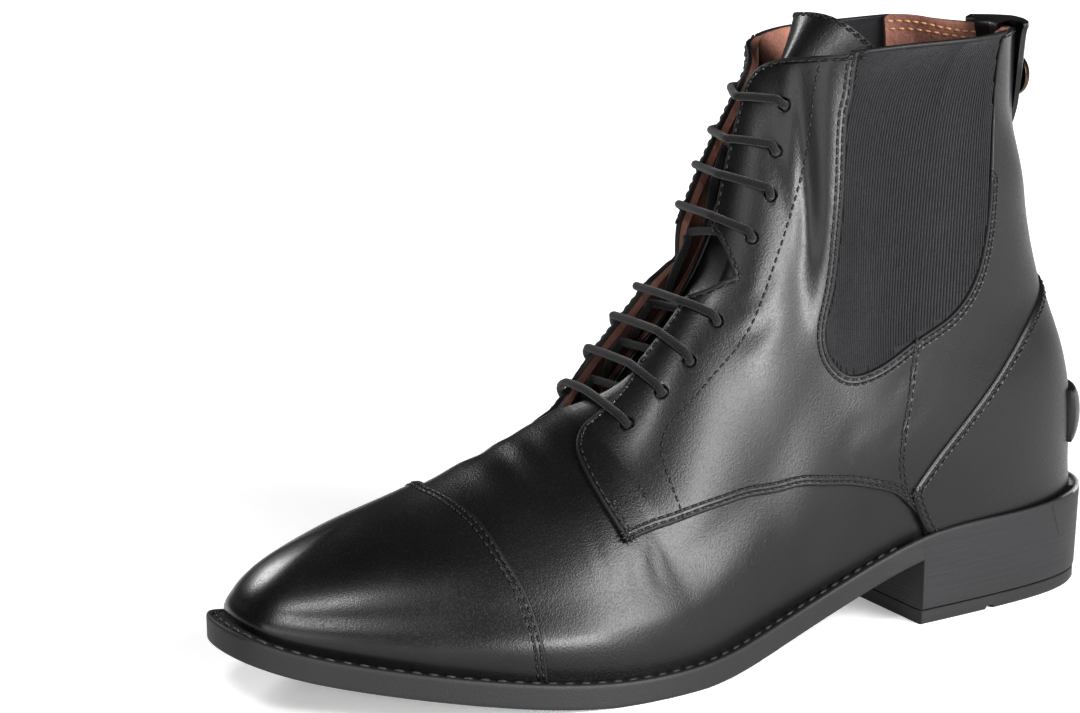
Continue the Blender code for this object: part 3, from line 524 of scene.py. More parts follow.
def stitch_tree():
    """Lays beads of thread end to end along every line of a mesh; its attribute up is the normal."""
    tree = bpy.data.node_groups.new("stitch_rows", "GeometryNodeTree")
    tree.interface.new_socket("Lines", in_out="INPUT", socket_type="NodeSocketGeometry")
    for name in ("Pitch", "Length", "Width"):
        tree.interface.new_socket(name, in_out="INPUT", socket_type="NodeSocketFloat")
    tree.interface.new_socket("Thread", in_out="INPUT", socket_type="NodeSocketMaterial")
    tree.interface.new_socket("Stitches", in_out="OUTPUT", socket_type="NodeSocketGeometry")
    start = node(tree, "NodeGroupInput")
    lines = node(tree, "GeometryNodeMeshToCurve", {"Mesh": start.outputs["Lines"]})
    spaced = node(tree, "GeometryNodeResampleCurve",
                  {"Curve": lines.outputs[0], "Length": start.outputs["Pitch"]}, mode="LENGTH")
    tangent = node(tree, "GeometryNodeInputTangent")
    normal = node(tree, "GeometryNodeInputNamedAttribute", {"Name": "up"}, data_type="FLOAT_VECTOR")
    along = node(tree, "FunctionNodeAlignRotationToVector", {"Vector": tangent.outputs[0]}, axis="X")
    seated = node(tree, "FunctionNodeAlignRotationToVector",
                  {"Rotation": along.outputs[0], "Vector": normal.outputs[0]}, axis="Z", pivot_axis="X")
    bead = node(tree, "GeometryNodeMeshUVSphere", {"Segments": 6, "Rings": 4, "Radius": 0.5})
    size = node(tree, "ShaderNodeCombineXYZ", {0: start.outputs["Length"], 1: start.outputs["Width"],
                                               2: start.outputs["Width"]})
    laid = node(tree, "GeometryNodeInstanceOnPoints",
                {"Points": spaced.outputs[0], "Instance": bead.outputs[0], "Rotation": seated.outputs[0],
                 "Scale": size.outputs[0]})
    real = node(tree, "GeometryNodeRealizeInstances", {"Geometry": laid.outputs[0]})
    soft = node(tree, "GeometryNodeSetShadeSmooth", {"Geometry": real.outputs[0]})
    dyed = node(tree, "GeometryNodeSetMaterial",
                {"Geometry": soft.outputs[0], "Material": start.outputs["Thread"]})
    node(tree, "NodeGroupOutput", {"Stitches": dyed.outputs[0]})
    return tree


def made_by_tree(name, mesh, tree, values):
    """Run a geometry tree on a mesh and keep the result as a plain mesh object."""
    source = bpy.data.objects.new(name + "_source", mesh)
    bpy.context.scene.collection.objects.link(source)
    modifier = source.modifiers.new("tree", "NODES")
    modifier.node_group = tree
    for item in tree.interface.items_tree:
        if item.in_out == "INPUT" and item.name in values:
            modifier[item.identifier] = values[item.name]
    depsgraph = bpy.context.evaluated_depsgraph_get()
    result = bpy.data.meshes.new_from_object(source.evaluated_get(depsgraph))
    bpy.data.objects.remove(source, do_unlink=True)
    piece = bpy.data.objects.new(name, result)
    bpy.context.scene.collection.objects.link(piece)
    return piece


def line_mesh(name, lines):
    """Lines of points, each with its normals, as one mesh of edges with the attribute up."""
    points = np.concatenate([placed(line) for line, _ in lines])
    normals = np.concatenate([up for _, up in lines])
    edges = []
    first = 0
    for line, _ in lines:
        edges += [(first + i, first + i + 1) for i in range(len(line) - 1)]
        first += len(line)
    mesh = bpy.data.meshes.new(name)
    mesh.from_pydata(points.tolist(), edges, [])
    mesh.attributes.new("up", "FLOAT_VECTOR", "POINT").data.foreach_set("vector", normals.ravel())
    return mesh


STITCH_TREE = stitch_tree()
WAXED_THREAD = thread_material("waxed_thread", THREAD)
GRAIN = grain_group()


def stitches(name, lines, pitch, size, thread):
    values = {"Pitch": pitch * MM, "Length": size[0] * MM, "Width": size[1] * MM, "Thread": thread}
    return carried(made_by_tree(name, line_mesh(name, lines), STITCH_TREE, values), "cord")


def welt_material():
    made, tree, shader = new_material("welt_leather", Specular_IOR_Level=0.4)
    cloud = use_group(tree, CLOUDINESS, {"Cloud Size": 90.0, "Speckle Size": 1500.0})
    tone = remap(tree, cloud.outputs["Clouds"], *CLOUD_RANGE, 0.0, 1.0)
    tree.links.new(blend_colours(tree, tone, WELT_LEATHER, WELT_WORN), shader.inputs["Base Color"])
    rough = remap(tree, cloud.outputs["Speckle"], *CLOUD_RANGE, *WELT_ROUGHNESS)
    tree.links.new(rough, shader.inputs["Roughness"])
    grain = use_group(tree, GRAIN, {"Cell Scale": 1800.0})
    bump(tree, shader, grain.outputs["Height"], *WELT_BUMP)
    return made


def welt():
    angles = SOLE_ANGLES[SOLE_ANGLES > float(angle_of(WELT_START))]
    rings = []
    row = []
    for side, route in ((LATERAL, angles), (MEDIAL, angles[-2::-1])):
        for angle in route:
            share = share_of(angle)
            high = rim(share) - WELT_TOP_DROP
            low = rim(share) - WELT_BED_DEPTH + GAP
            edges = (LIP_WIDTH + WELT_EDGE_GAP, float(LEDGE_CURVE(share)) + WALL - GAP)
            ring = [(*outline(side, angle, edges[0])[0], low)]
            for part in np.linspace(0, 1, WELT_ROWS):
                inset = edges[0] + (edges[1] - edges[0]) * part
                crown = WELT_CROWN * math.sin(math.pi * min(1.0, WELT_CROWN_END * part))
                ring.append((*outline(side, angle, inset)[0], high + crown - WELT_EDGE_DROP * (part == 0)))
            ring.append((*outline(side, angle, edges[1])[0], low))
            rings.append(ring)
            stitched = outline(side, angle, LIP_WIDTH + WELT_STITCH_INSET)[0]
            row.append((*stitched, high + WELT_CROWN + WELT_STITCH_LIFT))
    finish_piece("welt_strip", ring_loft(rings, False), [welt_material()], 50, "leather", "welt")
    row = np.array(row)
    stitches("welt_stitches", [(row, np.tile((0.0, 0.0, 1.0), (len(row), 1)))], WELT_PITCH, WELT_STITCH,
             thread_material("welt_thread", WELT_THREAD))


welt()


# Insole
# The footbed, cut from board and faced with the same brown leather as the lining. It is cemented
# in last and lies just clear of the wall, its edge rounded and its middle a little lower.
INSOLE_THICKNESS = 2.8
INSOLE_CLEARANCE = 0.8
# Inset and drop below the top, from the side over the rounded edge to the middle
INSOLE_EDGE = ((0.0, 0.6), (0.25, 0.15), (0.8, 0.0), (6.0, 0.5))
VAMP_LIFT = -1.1
LINING = (0.500, 0.250, 0.190, 1.0)
LINING_DARK = (0.120, 0.056, 0.043, 1.0)
# Heights in metres over which the lining's painted shade, deeper in the boot, fades out to its own colour
LINING_SHADE_HEIGHTS = (0.125, 0.165)
DEEP_UNSHADED_SHARE = 0.35
LINING_ROUGHNESS = (0.55, 0.8)
LINING_BUMP = (0.4, 0.0004)
# The footbed is the lining leather painted darker by this factor: painted shade deep in the boot
FOOTBED_SHADE = 0.8


def lining_material(name, shade):
    """Reddish brown lining leather, rubbed darker in clouds, matt, with painted shade lower down in the boot.
    """
    made, tree, shader = new_material(name, Specular_IOR_Level=0.35)
    cloud = use_group(tree, CLOUDINESS, {"Cloud Size": 55.0, "Speckle Size": 1100.0})
    tone = maths(tree, "ADD", remap(tree, cloud.outputs["Clouds"], -0.25, 0.25, 0.0, 0.8),
                 maths(tree, "MULTIPLY", cloud.outputs["Speckle"], 0.5), True)
    dark = shaded(LINING_DARK, shade)
    # Lower in the boot the lining is painted darker: painted shade inside the boot, fading out with height
    unshaded = remap(tree, coordinate(tree, "Z"), *LINING_SHADE_HEIGHTS, DEEP_UNSHADED_SHARE, 1.0)
    colour = blend_colours(tree, tone, dark, shaded(LINING, shade))
    tree.links.new(blend_colours(tree, unshaded, shaded(dark, 0.5), colour), shader.inputs["Base Color"])
    rough = remap(tree, cloud.outputs["Speckle"], *CLOUD_RANGE, *LINING_ROUGHNESS)
    tree.links.new(rough, shader.inputs["Roughness"])
    grain = use_group(tree, GRAIN, {"Cell Scale": 1100.0, "Fold Depth": 2.0})
    bump(tree, shader, grain.outputs["Height"], *LINING_BUMP)
    return made


def insole():
    share = share_of(EVEN_ANGLES)
    inset = LEDGE_CURVE(share) - VAMP_LIFT + WALL + INSOLE_CLEARANCE
    low = rim(share) - WELT_TOP_DROP + GAP
    high = low + INSOLE_THICKNESS
    rows = [(inset, low)] + [(inset + move, high - drop) for move, drop in INSOLE_EDGE]
    form = ring_loft([around(EVEN_ANGLES, *row) for row in rows], True)
    look = lining_material("footbed_leather", FOOTBED_SHADE)
    return finish_piece("footbed", form, [look], 40, "lining", "insole")


insole()


# Upper
# The vamp and the lining, lasted to one shell: black grained leather outside and brown leather
# inside, closed along the toe and open down the front, with a window each side for the elastic.
UPPER_SEAT = -0.5
THROAT = 7
COLLAR = 13.5
COLLAR_UPRIGHT = 0.10
COLLAR_BLEND = 1.5
TOE_SLOPE = 0.30
SWELL_TOP = 0.46
WAIST_BOTTOM = 0.30
OVERRUN = 60.0
EDGE_STEP = 0.4
CELL = 1.7
MID_TURN = 0.5
LEG_HEIGHT = 135.0
LINING_ROLL = 0.4
# Places beyond the boot's form, which close a panel's outline where it has no cut edge
PAST_TOE = -0.5
PAST_SOLE = -0.1
PAST_TOP = 1.5
WELD_DISTANCE = 0.00002
LEATHER = (0.0030, 0.0030, 0.0032, 1.0)
LEATHER_WORN = (0.0085, 0.0080, 0.0080, 1.0)
LEATHER_ROUGHNESS = (0.30, 0.40)
LEATHER_BUMP = (0.55, 0.00045)
GROOVE_DEPTH = 0.9
FAR = 99.0
MARKS = ("double", "single", "eyestay", "seam")
STITCH_ROWS = (1.3, 2.8)
SINGLE_ROW = 1.5
SEAM_ROWS = (-0.75, 0.75)
ROW_HALF = 0.55
STITCH_SINK = 0.05
LINING_ROWS = (2.8, 4.8)
# Cut edges are dull up to some millimetres from the edge
DULL_EDGE = (0.4, 1.3)
DULL_ROUGHNESS = 0.30
COAT = (0.02, 0.15)
# The toe's polish fades out between two places along the boot, in metres
TOE_POLISH = (-0.100, -0.060)
GRAIN_DEPTH = (0.08, 0.22)

LAST_COLUMNS = ("foot", "reach", "height", "gap", "ridge", "round", "fan",
                "swell_lateral", "swell_medial", "waist", "lag")
LAST_TABLE = (
    (math.pi, 256.0, 47.3, 0.0, -1.0, 2.30, 1.0, 0.5, 0.5, 0.0, 0.0),
    (2.92, 255.0, 47.5, 0.0, -1.0, 2.30, 1.0, 0.5, 0.5, 0.0, 0.0),
    (2.68, 251.5, 48.2, 0.0, -1.5, 2.30, 1.0, 0.8, 0.8, 0.0, 0.0),
    (2.44, 244.0, 49.8, 0.0, -2.0, 2.25, 0.9, 1.2, 1.2, 0.0, 0.0),
    (2.20, 231.0, 53.0, 0.0, -3.0, 2.15, 0.6, 1.5, 1.5, 0.0, 0.0),
    (1.98, 214.0, 60.0, 0.0, -4.0, 2.00, 0.2, 1.5, 1.5, 0.0, 0.0),
    (1.80, 198.0, 67.2, 0.0, -4.0, 1.95, 0.0, 1.5, 2.0, 0.0, 0.0),
    (1.66, 184.0, 74.0, 0.0, -3.0, 1.90, 0.0, 1.5, 3.0, 0.0, 0.0),
    (1.57, 170.0, 83.2, 11.0, -2.0, 1.85, 0.0, 1.5, 4.0, 0.0, 0.0),
    (1.50, 155.5, 98.5, 12.0, -1.0, 1.80, 0.0, 1.5, 5.0, 0.0, 0.0),
    (1.44, 144.0, 114.0, 11.0, -1.0, 1.75, 0.0, 1.5, 6.0, 0.0, 0.5),
    (1.38, 136.3, 136.5, 9.0, -1.0, 1.75, 0.0, 2.0, 6.5, 0.0, 2.5),
    (1.32, 129.8, 156.5, 7.5, -1.0, 1.75, 0.0, 2.0, 6.5, 0.0, 6.0),
    (1.24, 123.5, 170.0, 9.5, -1.0, 1.80, 0.0, 2.0, 6.5, -0.5, 8.0),
    (1.14, 112.0, 174.0, 25.0, 0.0, 1.90, 0.0, 2.5, 6.0, -1.0, 5.0),
    (1.00, 92.0, 176.0, 34.0, 0.0, 2.00, 0.0, 2.5, 5.0, -1.0, 1.0),
    (0.82, 70.0, 176.9, 36.5, 0.0, 2.00, 0.0, 2.5, 3.5, -0.5, 0.0),
    (0.62, 50.5, 177.6, 33.0, 0.0, 2.00, 0.0, 2.5, 3.0, 1.2, 0.0),
    (0.40, 37.5, 178.0, 22.5, 0.0, 2.00, 0.0, 2.6, 2.6, 4.0, 0.0),
    (0.18, 31.5, 178.0, 10.8, 0.0, 2.00, 0.0, 3.2, 3.2, 6.2, 0.0),
    (0.00, 30.0, 178.0, 0.0, 0.0, 2.00, 0.0, 3.6, 3.6, 7.0, 0.0),
)
BACK = len(LAST_TABLE) - 1
PAST_BACK = BACK + 0.5
LAST_VALUES = {name: column(LAST_TABLE, LAST_COLUMNS, name) for name in LAST_COLUMNS}
OPEN_COLUMNS = ("gap", "lag")
LAST = {name: spline(range(BACK + 1), LAST_VALUES[name])
        for name in LAST_COLUMNS if name not in OPEN_COLUMNS}
OPENING = {name: spline(range(THROAT, BACK + 1), LAST_VALUES[name][THROAT:]) for name in OPEN_COLUMNS}

# Each crease: its line as places on the boot, the half width and the depth of the trough
CREASES = (
    (((14.10, 0.96), (13.78, 0.68), (13.10, 0.45), (12.45, 0.36)), 3.4, -0.85),
    (((13.62, 0.90), (13.30, 0.66), (12.75, 0.47)), 2.2, 0.55),
    (((13.95, 0.22), (14.35, 0.23), (14.90, 0.25)), 1.8, 0.25),
    (((13.75, 0.16), (14.30, 0.17), (15.00, 0.20)), 2.0, 0.20),
    (((12.60, 0.20), (13.10, 0.21), (13.70, 0.20)), 2.4, 0.15),
    (((9.95, 0.62), (10.55, 0.55), (11.15, 0.52)), 3.0, 0.20),
    (((10.35, 0.64), (10.85, 0.58), (11.45, 0.57)), 2.2, 0.12),
    (((5.55, 0.98), (5.45, 0.80), (5.60, 0.62)), 4.0, 0.60),
    (((6.10, 0.97), (5.95, 0.80), (6.05, 0.66)), 3.0, 0.40),
    (((5.95, 0.52), (5.85, 0.42), (5.80, 0.33)), 1.3, 0.20),
    (((6.35, 0.36), (6.20, 0.30), (6.15, 0.24)), 1.2, 0.18),
    (((6.75, 0.36), (6.62, 0.30), (6.60, 0.24)), 1.2, 0.16),
)
CREASE_REACH = 5
CREASE_FADE = 0.6
# Height and place of the low ridge beside a trough, as shares of its depth and its half width
CREASE_RIDGE = (0.45, 1.9)

# Beside the back seam the leg draws in towards the collar
HOLLOW_SECTION = 18.0
HOLLOW_HALF = 1.1
HOLLOW_DEPTH = 5.0
HOLLOW_LOW = 0.46
HOLLOW_RISE = 0.20


def last_surface(section, turn, side):
    """Points of the boot's outer form at a section and a turn from the sole (0) to the top (1)."""
    section, turn = np.broadcast_arrays(np.asarray(section, float), np.asarray(turn, float))
    at = {name: curve(section) for name, curve in LAST.items()}
    foot_angle = np.clip(at["foot"], 0, math.pi)
    share = share_of(foot_angle)
    foot, outward = outline(side, foot_angle, LEDGE_CURVE(share))
    foot_z = rim(share) - WELT_TOP_DROP + UPPER_SEAT
    gap = np.where(section > THROAT, np.maximum(OPENING["gap"](section), 0), 0)
    top_x = at["ridge"] + side * gap
    lag = np.where((section > THROAT) & (side == MEDIAL), OPENING["lag"](section), 0)
    top_y = -at["reach"] + lag
    phase = np.clip(turn, 0, 1) * math.pi / 2
    out = np.cos(phase) ** (2 / at["round"])
    rise = np.sin(phase) ** (2 / at["round"])
    fan = np.clip(at["fan"], 0, 1)
    slope = TOE_SLOPE * fan
    x = top_x + (foot[..., 0] - top_x) * out
    y = top_y + (foot[..., 1] - top_y) * (fan * out + (1 - fan) * (1 - rise))
    base_z = foot_z - slope * (foot[..., 1] - top_y)
    z = base_z + (at["height"] - base_z) * rise + slope * (y - top_y)
    swell = at["swell_lateral"] if side == LATERAL else at["swell_medial"]
    bulge = swell * np.sin(math.pi * np.clip(rise / SWELL_TOP, 0, 1)) ** 2
    hollow = at["waist"] * np.sin(math.pi * np.clip((rise - WAIST_BOTTOM) / (1 - WAIST_BOTTOM), 0, 1)) ** 2
    x = x + outward[..., 0] * (bulge - hollow)
    y = y + outward[..., 1] * (bulge - hollow)
    past_top = np.maximum(turn - 1, 0) * OVERRUN
    on_collar = section > COLLAR
    x = x - np.where(on_collar, 0, side * past_top)
    z = z + np.where(on_collar, past_top, 0)
    return np.stack([x, y, z], -1)


def last_normal(section, turn, side):
    """Outward unit normals; on the seams they lie in the seam's own plane."""
    section, turn = np.broadcast_arrays(np.asarray(section, float), np.asarray(turn, float))
    step = 0.004
    turn = np.minimum(turn, 1 - COLLAR_UPRIGHT * smooth_step((section - COLLAR) / COLLAR_BLEND))
    low = np.clip(turn - step, 0, 1 - 2 * step)
    along = last_surface(np.clip(section + step, 0, BACK), turn, side)
    along = along - last_surface(np.clip(section - step, 0, BACK), turn, side)
    up = last_surface(section, low + 2 * step, side) - last_surface(section, low, side)
    normal = np.cross(along, up) * side
    on_seam = (section < step) | (section > BACK - step)
    on_ridge = (turn > 1 - step) & (section <= THROAT)
    ridge_normal = np.stack([np.zeros_like(section), along[..., 2], -along[..., 1]], -1)
    ridge_normal = ridge_normal * np.sign(ridge_normal[..., 2:3])
    seam_normal = np.stack([np.zeros_like(section), up[..., 2], -up[..., 1]], -1)
    seam_normal = seam_normal * np.where(section < THROAT, -1, 1)[..., None]
    normal = np.where(on_ridge[..., None], ridge_normal, normal)
    normal = np.where(on_seam[..., None], seam_normal, normal)
    return normal / np.linalg.norm(normal, axis=-1, keepdims=True)


def way_along(points):
    """The length of a line of points from its start to each of them."""
    return np.r_[0.0, np.cumsum(np.linalg.norm(np.diff(points, axis=0), axis=1))]


def run(*places):
    """A smooth line through a few (section, turn) places of the boot, in small even steps."""
    places = np.array(places, float)
    points = last_surface(places[:, 0], places[:, 1], LATERAL)
    lengths = way_along(points)
    fine = np.linspace(0, lengths[-1], 600)
    if len(places) > 2:
        line = np.stack([spline(lengths, places[:, k])(fine) for k in range(2)], -1)
    else:
        line = np.stack([np.interp(fine, lengths, places[:, k]) for k in range(2)], -1)
    travelled = way_along(last_surface(line[:, 0], line[:, 1], LATERAL))
    even = np.linspace(0, travelled[-1], max(3, int(travelled[-1] / EDGE_STEP)))
    return np.stack([np.interp(even, travelled, line[:, k]) for k in range(2)], -1)


def crease_lines(side):
    """Each crease's trough in millimetres, its middle, how far it reaches, its width and its depth."""
    lines = []
    for places, width, depth in CREASES:
        line = run(*places)[::4]
        trough = last_surface(line[:, 0], line[:, 1], side)
        middle = trough.mean(axis=0)
        reach = np.linalg.norm(trough - middle, axis=1).max() + CREASE_REACH * width
        lines.append((trough, middle, reach, width, depth))
    return lines


CREASE_LINES = {side: crease_lines(side) for side in SIDES}


def crease_lift(points, side):
    """How far the creases pull the leather in, or push it out beside the trough."""
    lift = np.zeros(points.shape[:-1])
    ridge_height, ridge_place = CREASE_RIDGE
    for trough, middle, reach, width, depth in CREASE_LINES[side]:
        near = np.linalg.norm(points - middle, axis=-1) < reach
        if not near.any():
            continue
        gaps = np.linalg.norm(points[near][:, None] - trough[None], axis=-1)
        nearest = gaps.argmin(axis=1)
        gap = gaps[np.arange(len(nearest)), nearest] / width
        fade = np.sin(math.pi * np.clip((nearest + 0.5) / len(trough), 0, 1)) ** CREASE_FADE
        profile = -np.exp(-gap ** 2) + ridge_height * np.exp(-(gap - ridge_place) ** 2)
        lift[near] += depth * fade * profile
    return lift


def lifted(section, turn, side, lift):
    """Points on the boot's form, creases included, at a distance outside it."""
    points = last_surface(section, turn, side)
    beside_seam = np.exp(-((np.asarray(section) - HOLLOW_SECTION) / HOLLOW_HALF) ** 2)
    hollow = HOLLOW_DEPTH * beside_seam * smooth_step((np.asarray(turn) - HOLLOW_LOW) / HOLLOW_RISE)
    lift = np.asarray(lift, float) + crease_lift(points, side) - hollow
    return points + lift[..., None] * last_normal(section, turn, side)


def shifted(line, side, distance):
    """A line on the boot moved sideways over the surface, to the left as it is travelled."""
    step = 1e-3
    section, turn = line[:, 0], np.clip(line[:, 1], 0, 1 - step)
    base = last_surface(section, turn, side)
    by_section = (last_surface(section + step, turn, side) - base) / step
    by_turn = (last_surface(section, turn + step, side) - base) / step
    along = np.gradient(line, axis=0)
    heading = by_section * along[:, :1] + by_turn * along[:, 1:]
    heading /= np.linalg.norm(heading, axis=1, keepdims=True) + 1e-12
    across = np.cross(last_normal(section, turn, side), heading)
    a = (by_section ** 2).sum(1)
    b = (by_section * by_turn).sum(1)
    c = (by_turn ** 2).sum(1)
    u = (by_section * across).sum(1)
    v = (by_turn * across).sum(1)
    det = a * c - b * b
    move = np.stack([(c * u - b * v) / det, (a * v - b * u) / det], -1)
    left = np.stack([-along[:, 1], along[:, 0]], -1)
    sign = np.sign((move * left).sum(1, keepdims=True))
    moved = line + distance * move * sign
    for k in np.flatnonzero((line[:, 1] > 1 - 1e-6) & (np.abs(along[:, 1]) < 1e-6)):
        drop = np.linspace(0, 0.4, 200)
        walk = last_surface(line[k, 0], 1 - drop, side)
        moved[k] = line[k] - np.array((0.0, np.interp(abs(distance), way_along(walk), drop)))
    return moved


def inside(sections, turns, loops):
    """Which places of a lattice lie inside closed loops, by counting crossings along each row."""
    kept = np.zeros((len(sections), len(turns)), bool)
    for j, turn in enumerate(turns):
        crossings = []
        for loop in loops:
            ahead = np.roll(loop, -1, axis=0)
            hit = (loop[:, 1] <= turn) != (ahead[:, 1] <= turn)
            share = (turn - loop[hit, 1]) / (ahead[hit, 1] - loop[hit, 1])
            crossings.append(loop[hit, 0] + share * (ahead[hit, 0] - loop[hit, 0]))
        kept[:, j] = np.searchsorted(np.sort(np.concatenate(crossings)), sections) % 2 == 1
    return kept


def even_sections(low, high, turn, step):
    """Sections spaced evenly along the boot at one turn."""
    fine = np.linspace(low, high, 2000)
    travelled = way_along(last_surface(fine, turn, LATERAL))
    return np.interp(np.linspace(0, travelled[-1], int(travelled[-1] / step) + 1), travelled, fine)


def even_turns(low, high, step, size=LEG_HEIGHT):
    """Turns from the sole up, spaced for steps of even height."""
    even = np.linspace(0, 1, int(size / step) + 1)
    turns = even / 2 + np.arcsin(even) / math.pi
    return turns[(turns > low - 1e-9) & (turns < high + 1e-9)]


def nearest_finder(points):
    """A search tree that finds the nearest of many points."""
    tree = KDTree(len(points))
    for i, point in enumerate(points):
        tree.insert(point, i)
    tree.balance()
    return tree


def corner_counts(cells):
    """How many of the cells round each corner of a lattice are set."""
    padded = np.pad(cells.astype(int), 1)
    rows, columns = cells.shape[0] + 1, cells.shape[1] + 1
    return sum(padded[i:i + rows, j:j + columns] for i in (0, 1) for j in (0, 1))


def cut_edges(loops, closed, side, roll):
    """Places along a sheet's cut edges, and at each the move that leads one millimetre into the sheet."""
    places = []
    moves = []
    for loop, whole in zip(loops, closed):
        ahead = np.roll(whole, -1, axis=0)
        area = (whole[:, 0] * ahead[:, 1] - whole[:, 1] * ahead[:, 0]).sum()
        others = [other for other in closed if other is not whole]
        is_hole = len(others) > 0 and inside(whole[:1, 0] + 1e-4, whole[:1, 1], others)[0, 0]
        turn_in = np.sign(area) * (-1 if is_hole else 1)
        for line, is_edge in loop:
            if is_edge:
                places.append(line)
                moves.append((shifted(line, side, turn_in * roll) - line) / roll)
    return np.concatenate(places), np.concatenate(moves)


def sheet_walls(kept, sections, turns):
    """Pairs of lattice corners along a sheet's border, without those where the boot's sides meet."""
    walls = []
    for axis, border in enumerate((((1, 1), (0, 0)), ((0, 0), (1, 1)))):
        change = np.diff(np.pad(kept.astype(int), border), axis=axis)
        for i, j in np.argwhere(change != 0):
            on_side_seam = axis == 0 and (sections[i] < 1e-6 or sections[i] > BACK - 1e-6)
            on_ridge = axis == 1 and turns[j] > 1 - 1e-6 and sections[i] < THROAT
            if not (on_side_seam or on_ridge):
                walls.append(((i, j), (i, j + 1) if axis == 0 else (i + 1, j)))
    return walls


def cut_sheet(form, marks, side, lattice, loops, lifts, roll, edge_look=0):
    """Add one side of a leather panel: cells of a lattice inside the loops, the cut edge rolled over.

    Each loop is a list of (line, is an edge); lifts are the face, the back and the foot of the edge.
    """
    sections, turns = lattice
    face_lift, back_lift, foot_lift = lifts
    closed = [np.concatenate([line for line, _ in loop]) for loop in loops]
    kept = inside((sections[:-1] + sections[1:]) / 2, (turns[:-1] + turns[1:]) / 2, closed)
    touching = corner_counts(kept)
    used = touching > 0
    cut = used & (touching < corner_counts(np.ones_like(kept)))
    section, turn = np.meshgrid(sections, turns, indexing="ij")
    inward = np.zeros(section.shape + (2,))
    edge_places, edge_moves = cut_edges(loops, closed, side, roll)
    finder = nearest_finder(last_surface(edge_places[:, 0], np.minimum(edge_places[:, 1], 1.0), side))
    for i, j in np.argwhere(cut):
        k = finder.find(last_surface(section[i, j], min(turn[i, j], 1.0), side))[1]
        section[i, j], turn[i, j] = edge_places[k]
        inward[i, j] = edge_moves[k]
    turn = np.clip(turn, turns[0], 1.0)

    def at(share, lift):
        return lifted(np.clip(section + share * roll * inward[..., 0], 0, BACK),
                      np.clip(turn + share * roll * inward[..., 1], 0, 1), side, lift)

    depth = np.where(cut, foot_lift, (face_lift + back_lift) / 2)
    shapes = [at(1.0, face_lift), at(0.3, face_lift - 0.25 * roll), at(0.0, face_lift - roll),
              at(0.0, depth), at(1.0, back_lift)]
    walls = sheet_walls(kept, sections, turns)
    edge_used = np.zeros_like(used)
    for first, second in walls:
        edge_used[first] = edge_used[second] = True
    number = -np.ones((len(shapes),) + section.shape, int)
    verts = []
    for layer, shape in enumerate(shapes):
        wanted = used if layer in (0, len(shapes) - 1) else edge_used
        places = placed(shape[wanted])
        number[layer][wanted] = np.arange(len(verts), len(verts) + len(places))
        verts += [form.verts.new(p) for p in places]
    for i, j in np.argwhere(kept):
        corners = ((i, j), (i + 1, j), (i + 1, j + 1), (i, j + 1))
        form.faces.new([verts[number[0][c]] for c in corners])
        form.faces.new([verts[number[-1][c]] for c in corners]).material_index = 1
    for first, second in walls:
        for upper_row, lower_row in zip(number[:-1], number[1:]):
            ring = (upper_row[first], upper_row[second], lower_row[second], lower_row[first])
            form.faces.new([verts[k] for k in ring]).material_index = edge_look
    mark_distances(form, marks, side, verts)


def leather_form():
    form = bmesh.new()
    for name in MARKS:
        form.verts.layers.float.new(name)
    return form


def unmarked(form):
    """Tell a form of leather that no stitching runs over it."""
    for name in MARKS:
        layer = form.verts.layers.float.get(name) or form.verts.layers.float.new(name)
        for vert in form.verts:
            vert[layer] = FAR
    return form


def mark_distances(form, marks, side, verts):
    """Write on each vertex its distance in millimetres from the lines that the stitching follows."""
    for name in MARKS:
        layer = form.verts.layers.float[name]
        lines = marks.get(name)
        if not lines:
            for vert in verts:
                vert[layer] = FAR
            continue
        points = np.concatenate([placed(last_surface(line[:, 0], line[:, 1], side)) for line in lines])
        finder = nearest_finder(points)
        for vert in verts:
            vert[layer] = finder.find(vert.co)[2] / MM


def stitch_groove_group():
    """The trough a row of stitches pulls into leather, from the distance to the edge it follows."""
    sizes = {"Distance": FAR, "Row": SINGLE_ROW, "Half Width": ROW_HALF}
    tree, start, end = new_group("stitch_groove", sizes, ["Depth"])
    off = maths(tree, "ABSOLUTE", maths(tree, "SUBTRACT", start.outputs["Distance"], start.outputs["Row"]))
    share = maths(tree, "DIVIDE", off, start.outputs["Half Width"])
    ends = {"Value": share, "From Min": 0.0, "From Max": 1.0, "To Min": 1.0, "To Max": 0.0}
    depth = node(tree, "ShaderNodeMapRange", ends, interpolation_type="SMOOTHSTEP")
    tree.links.new(depth.outputs["Result"], end.inputs["Depth"])
    return tree


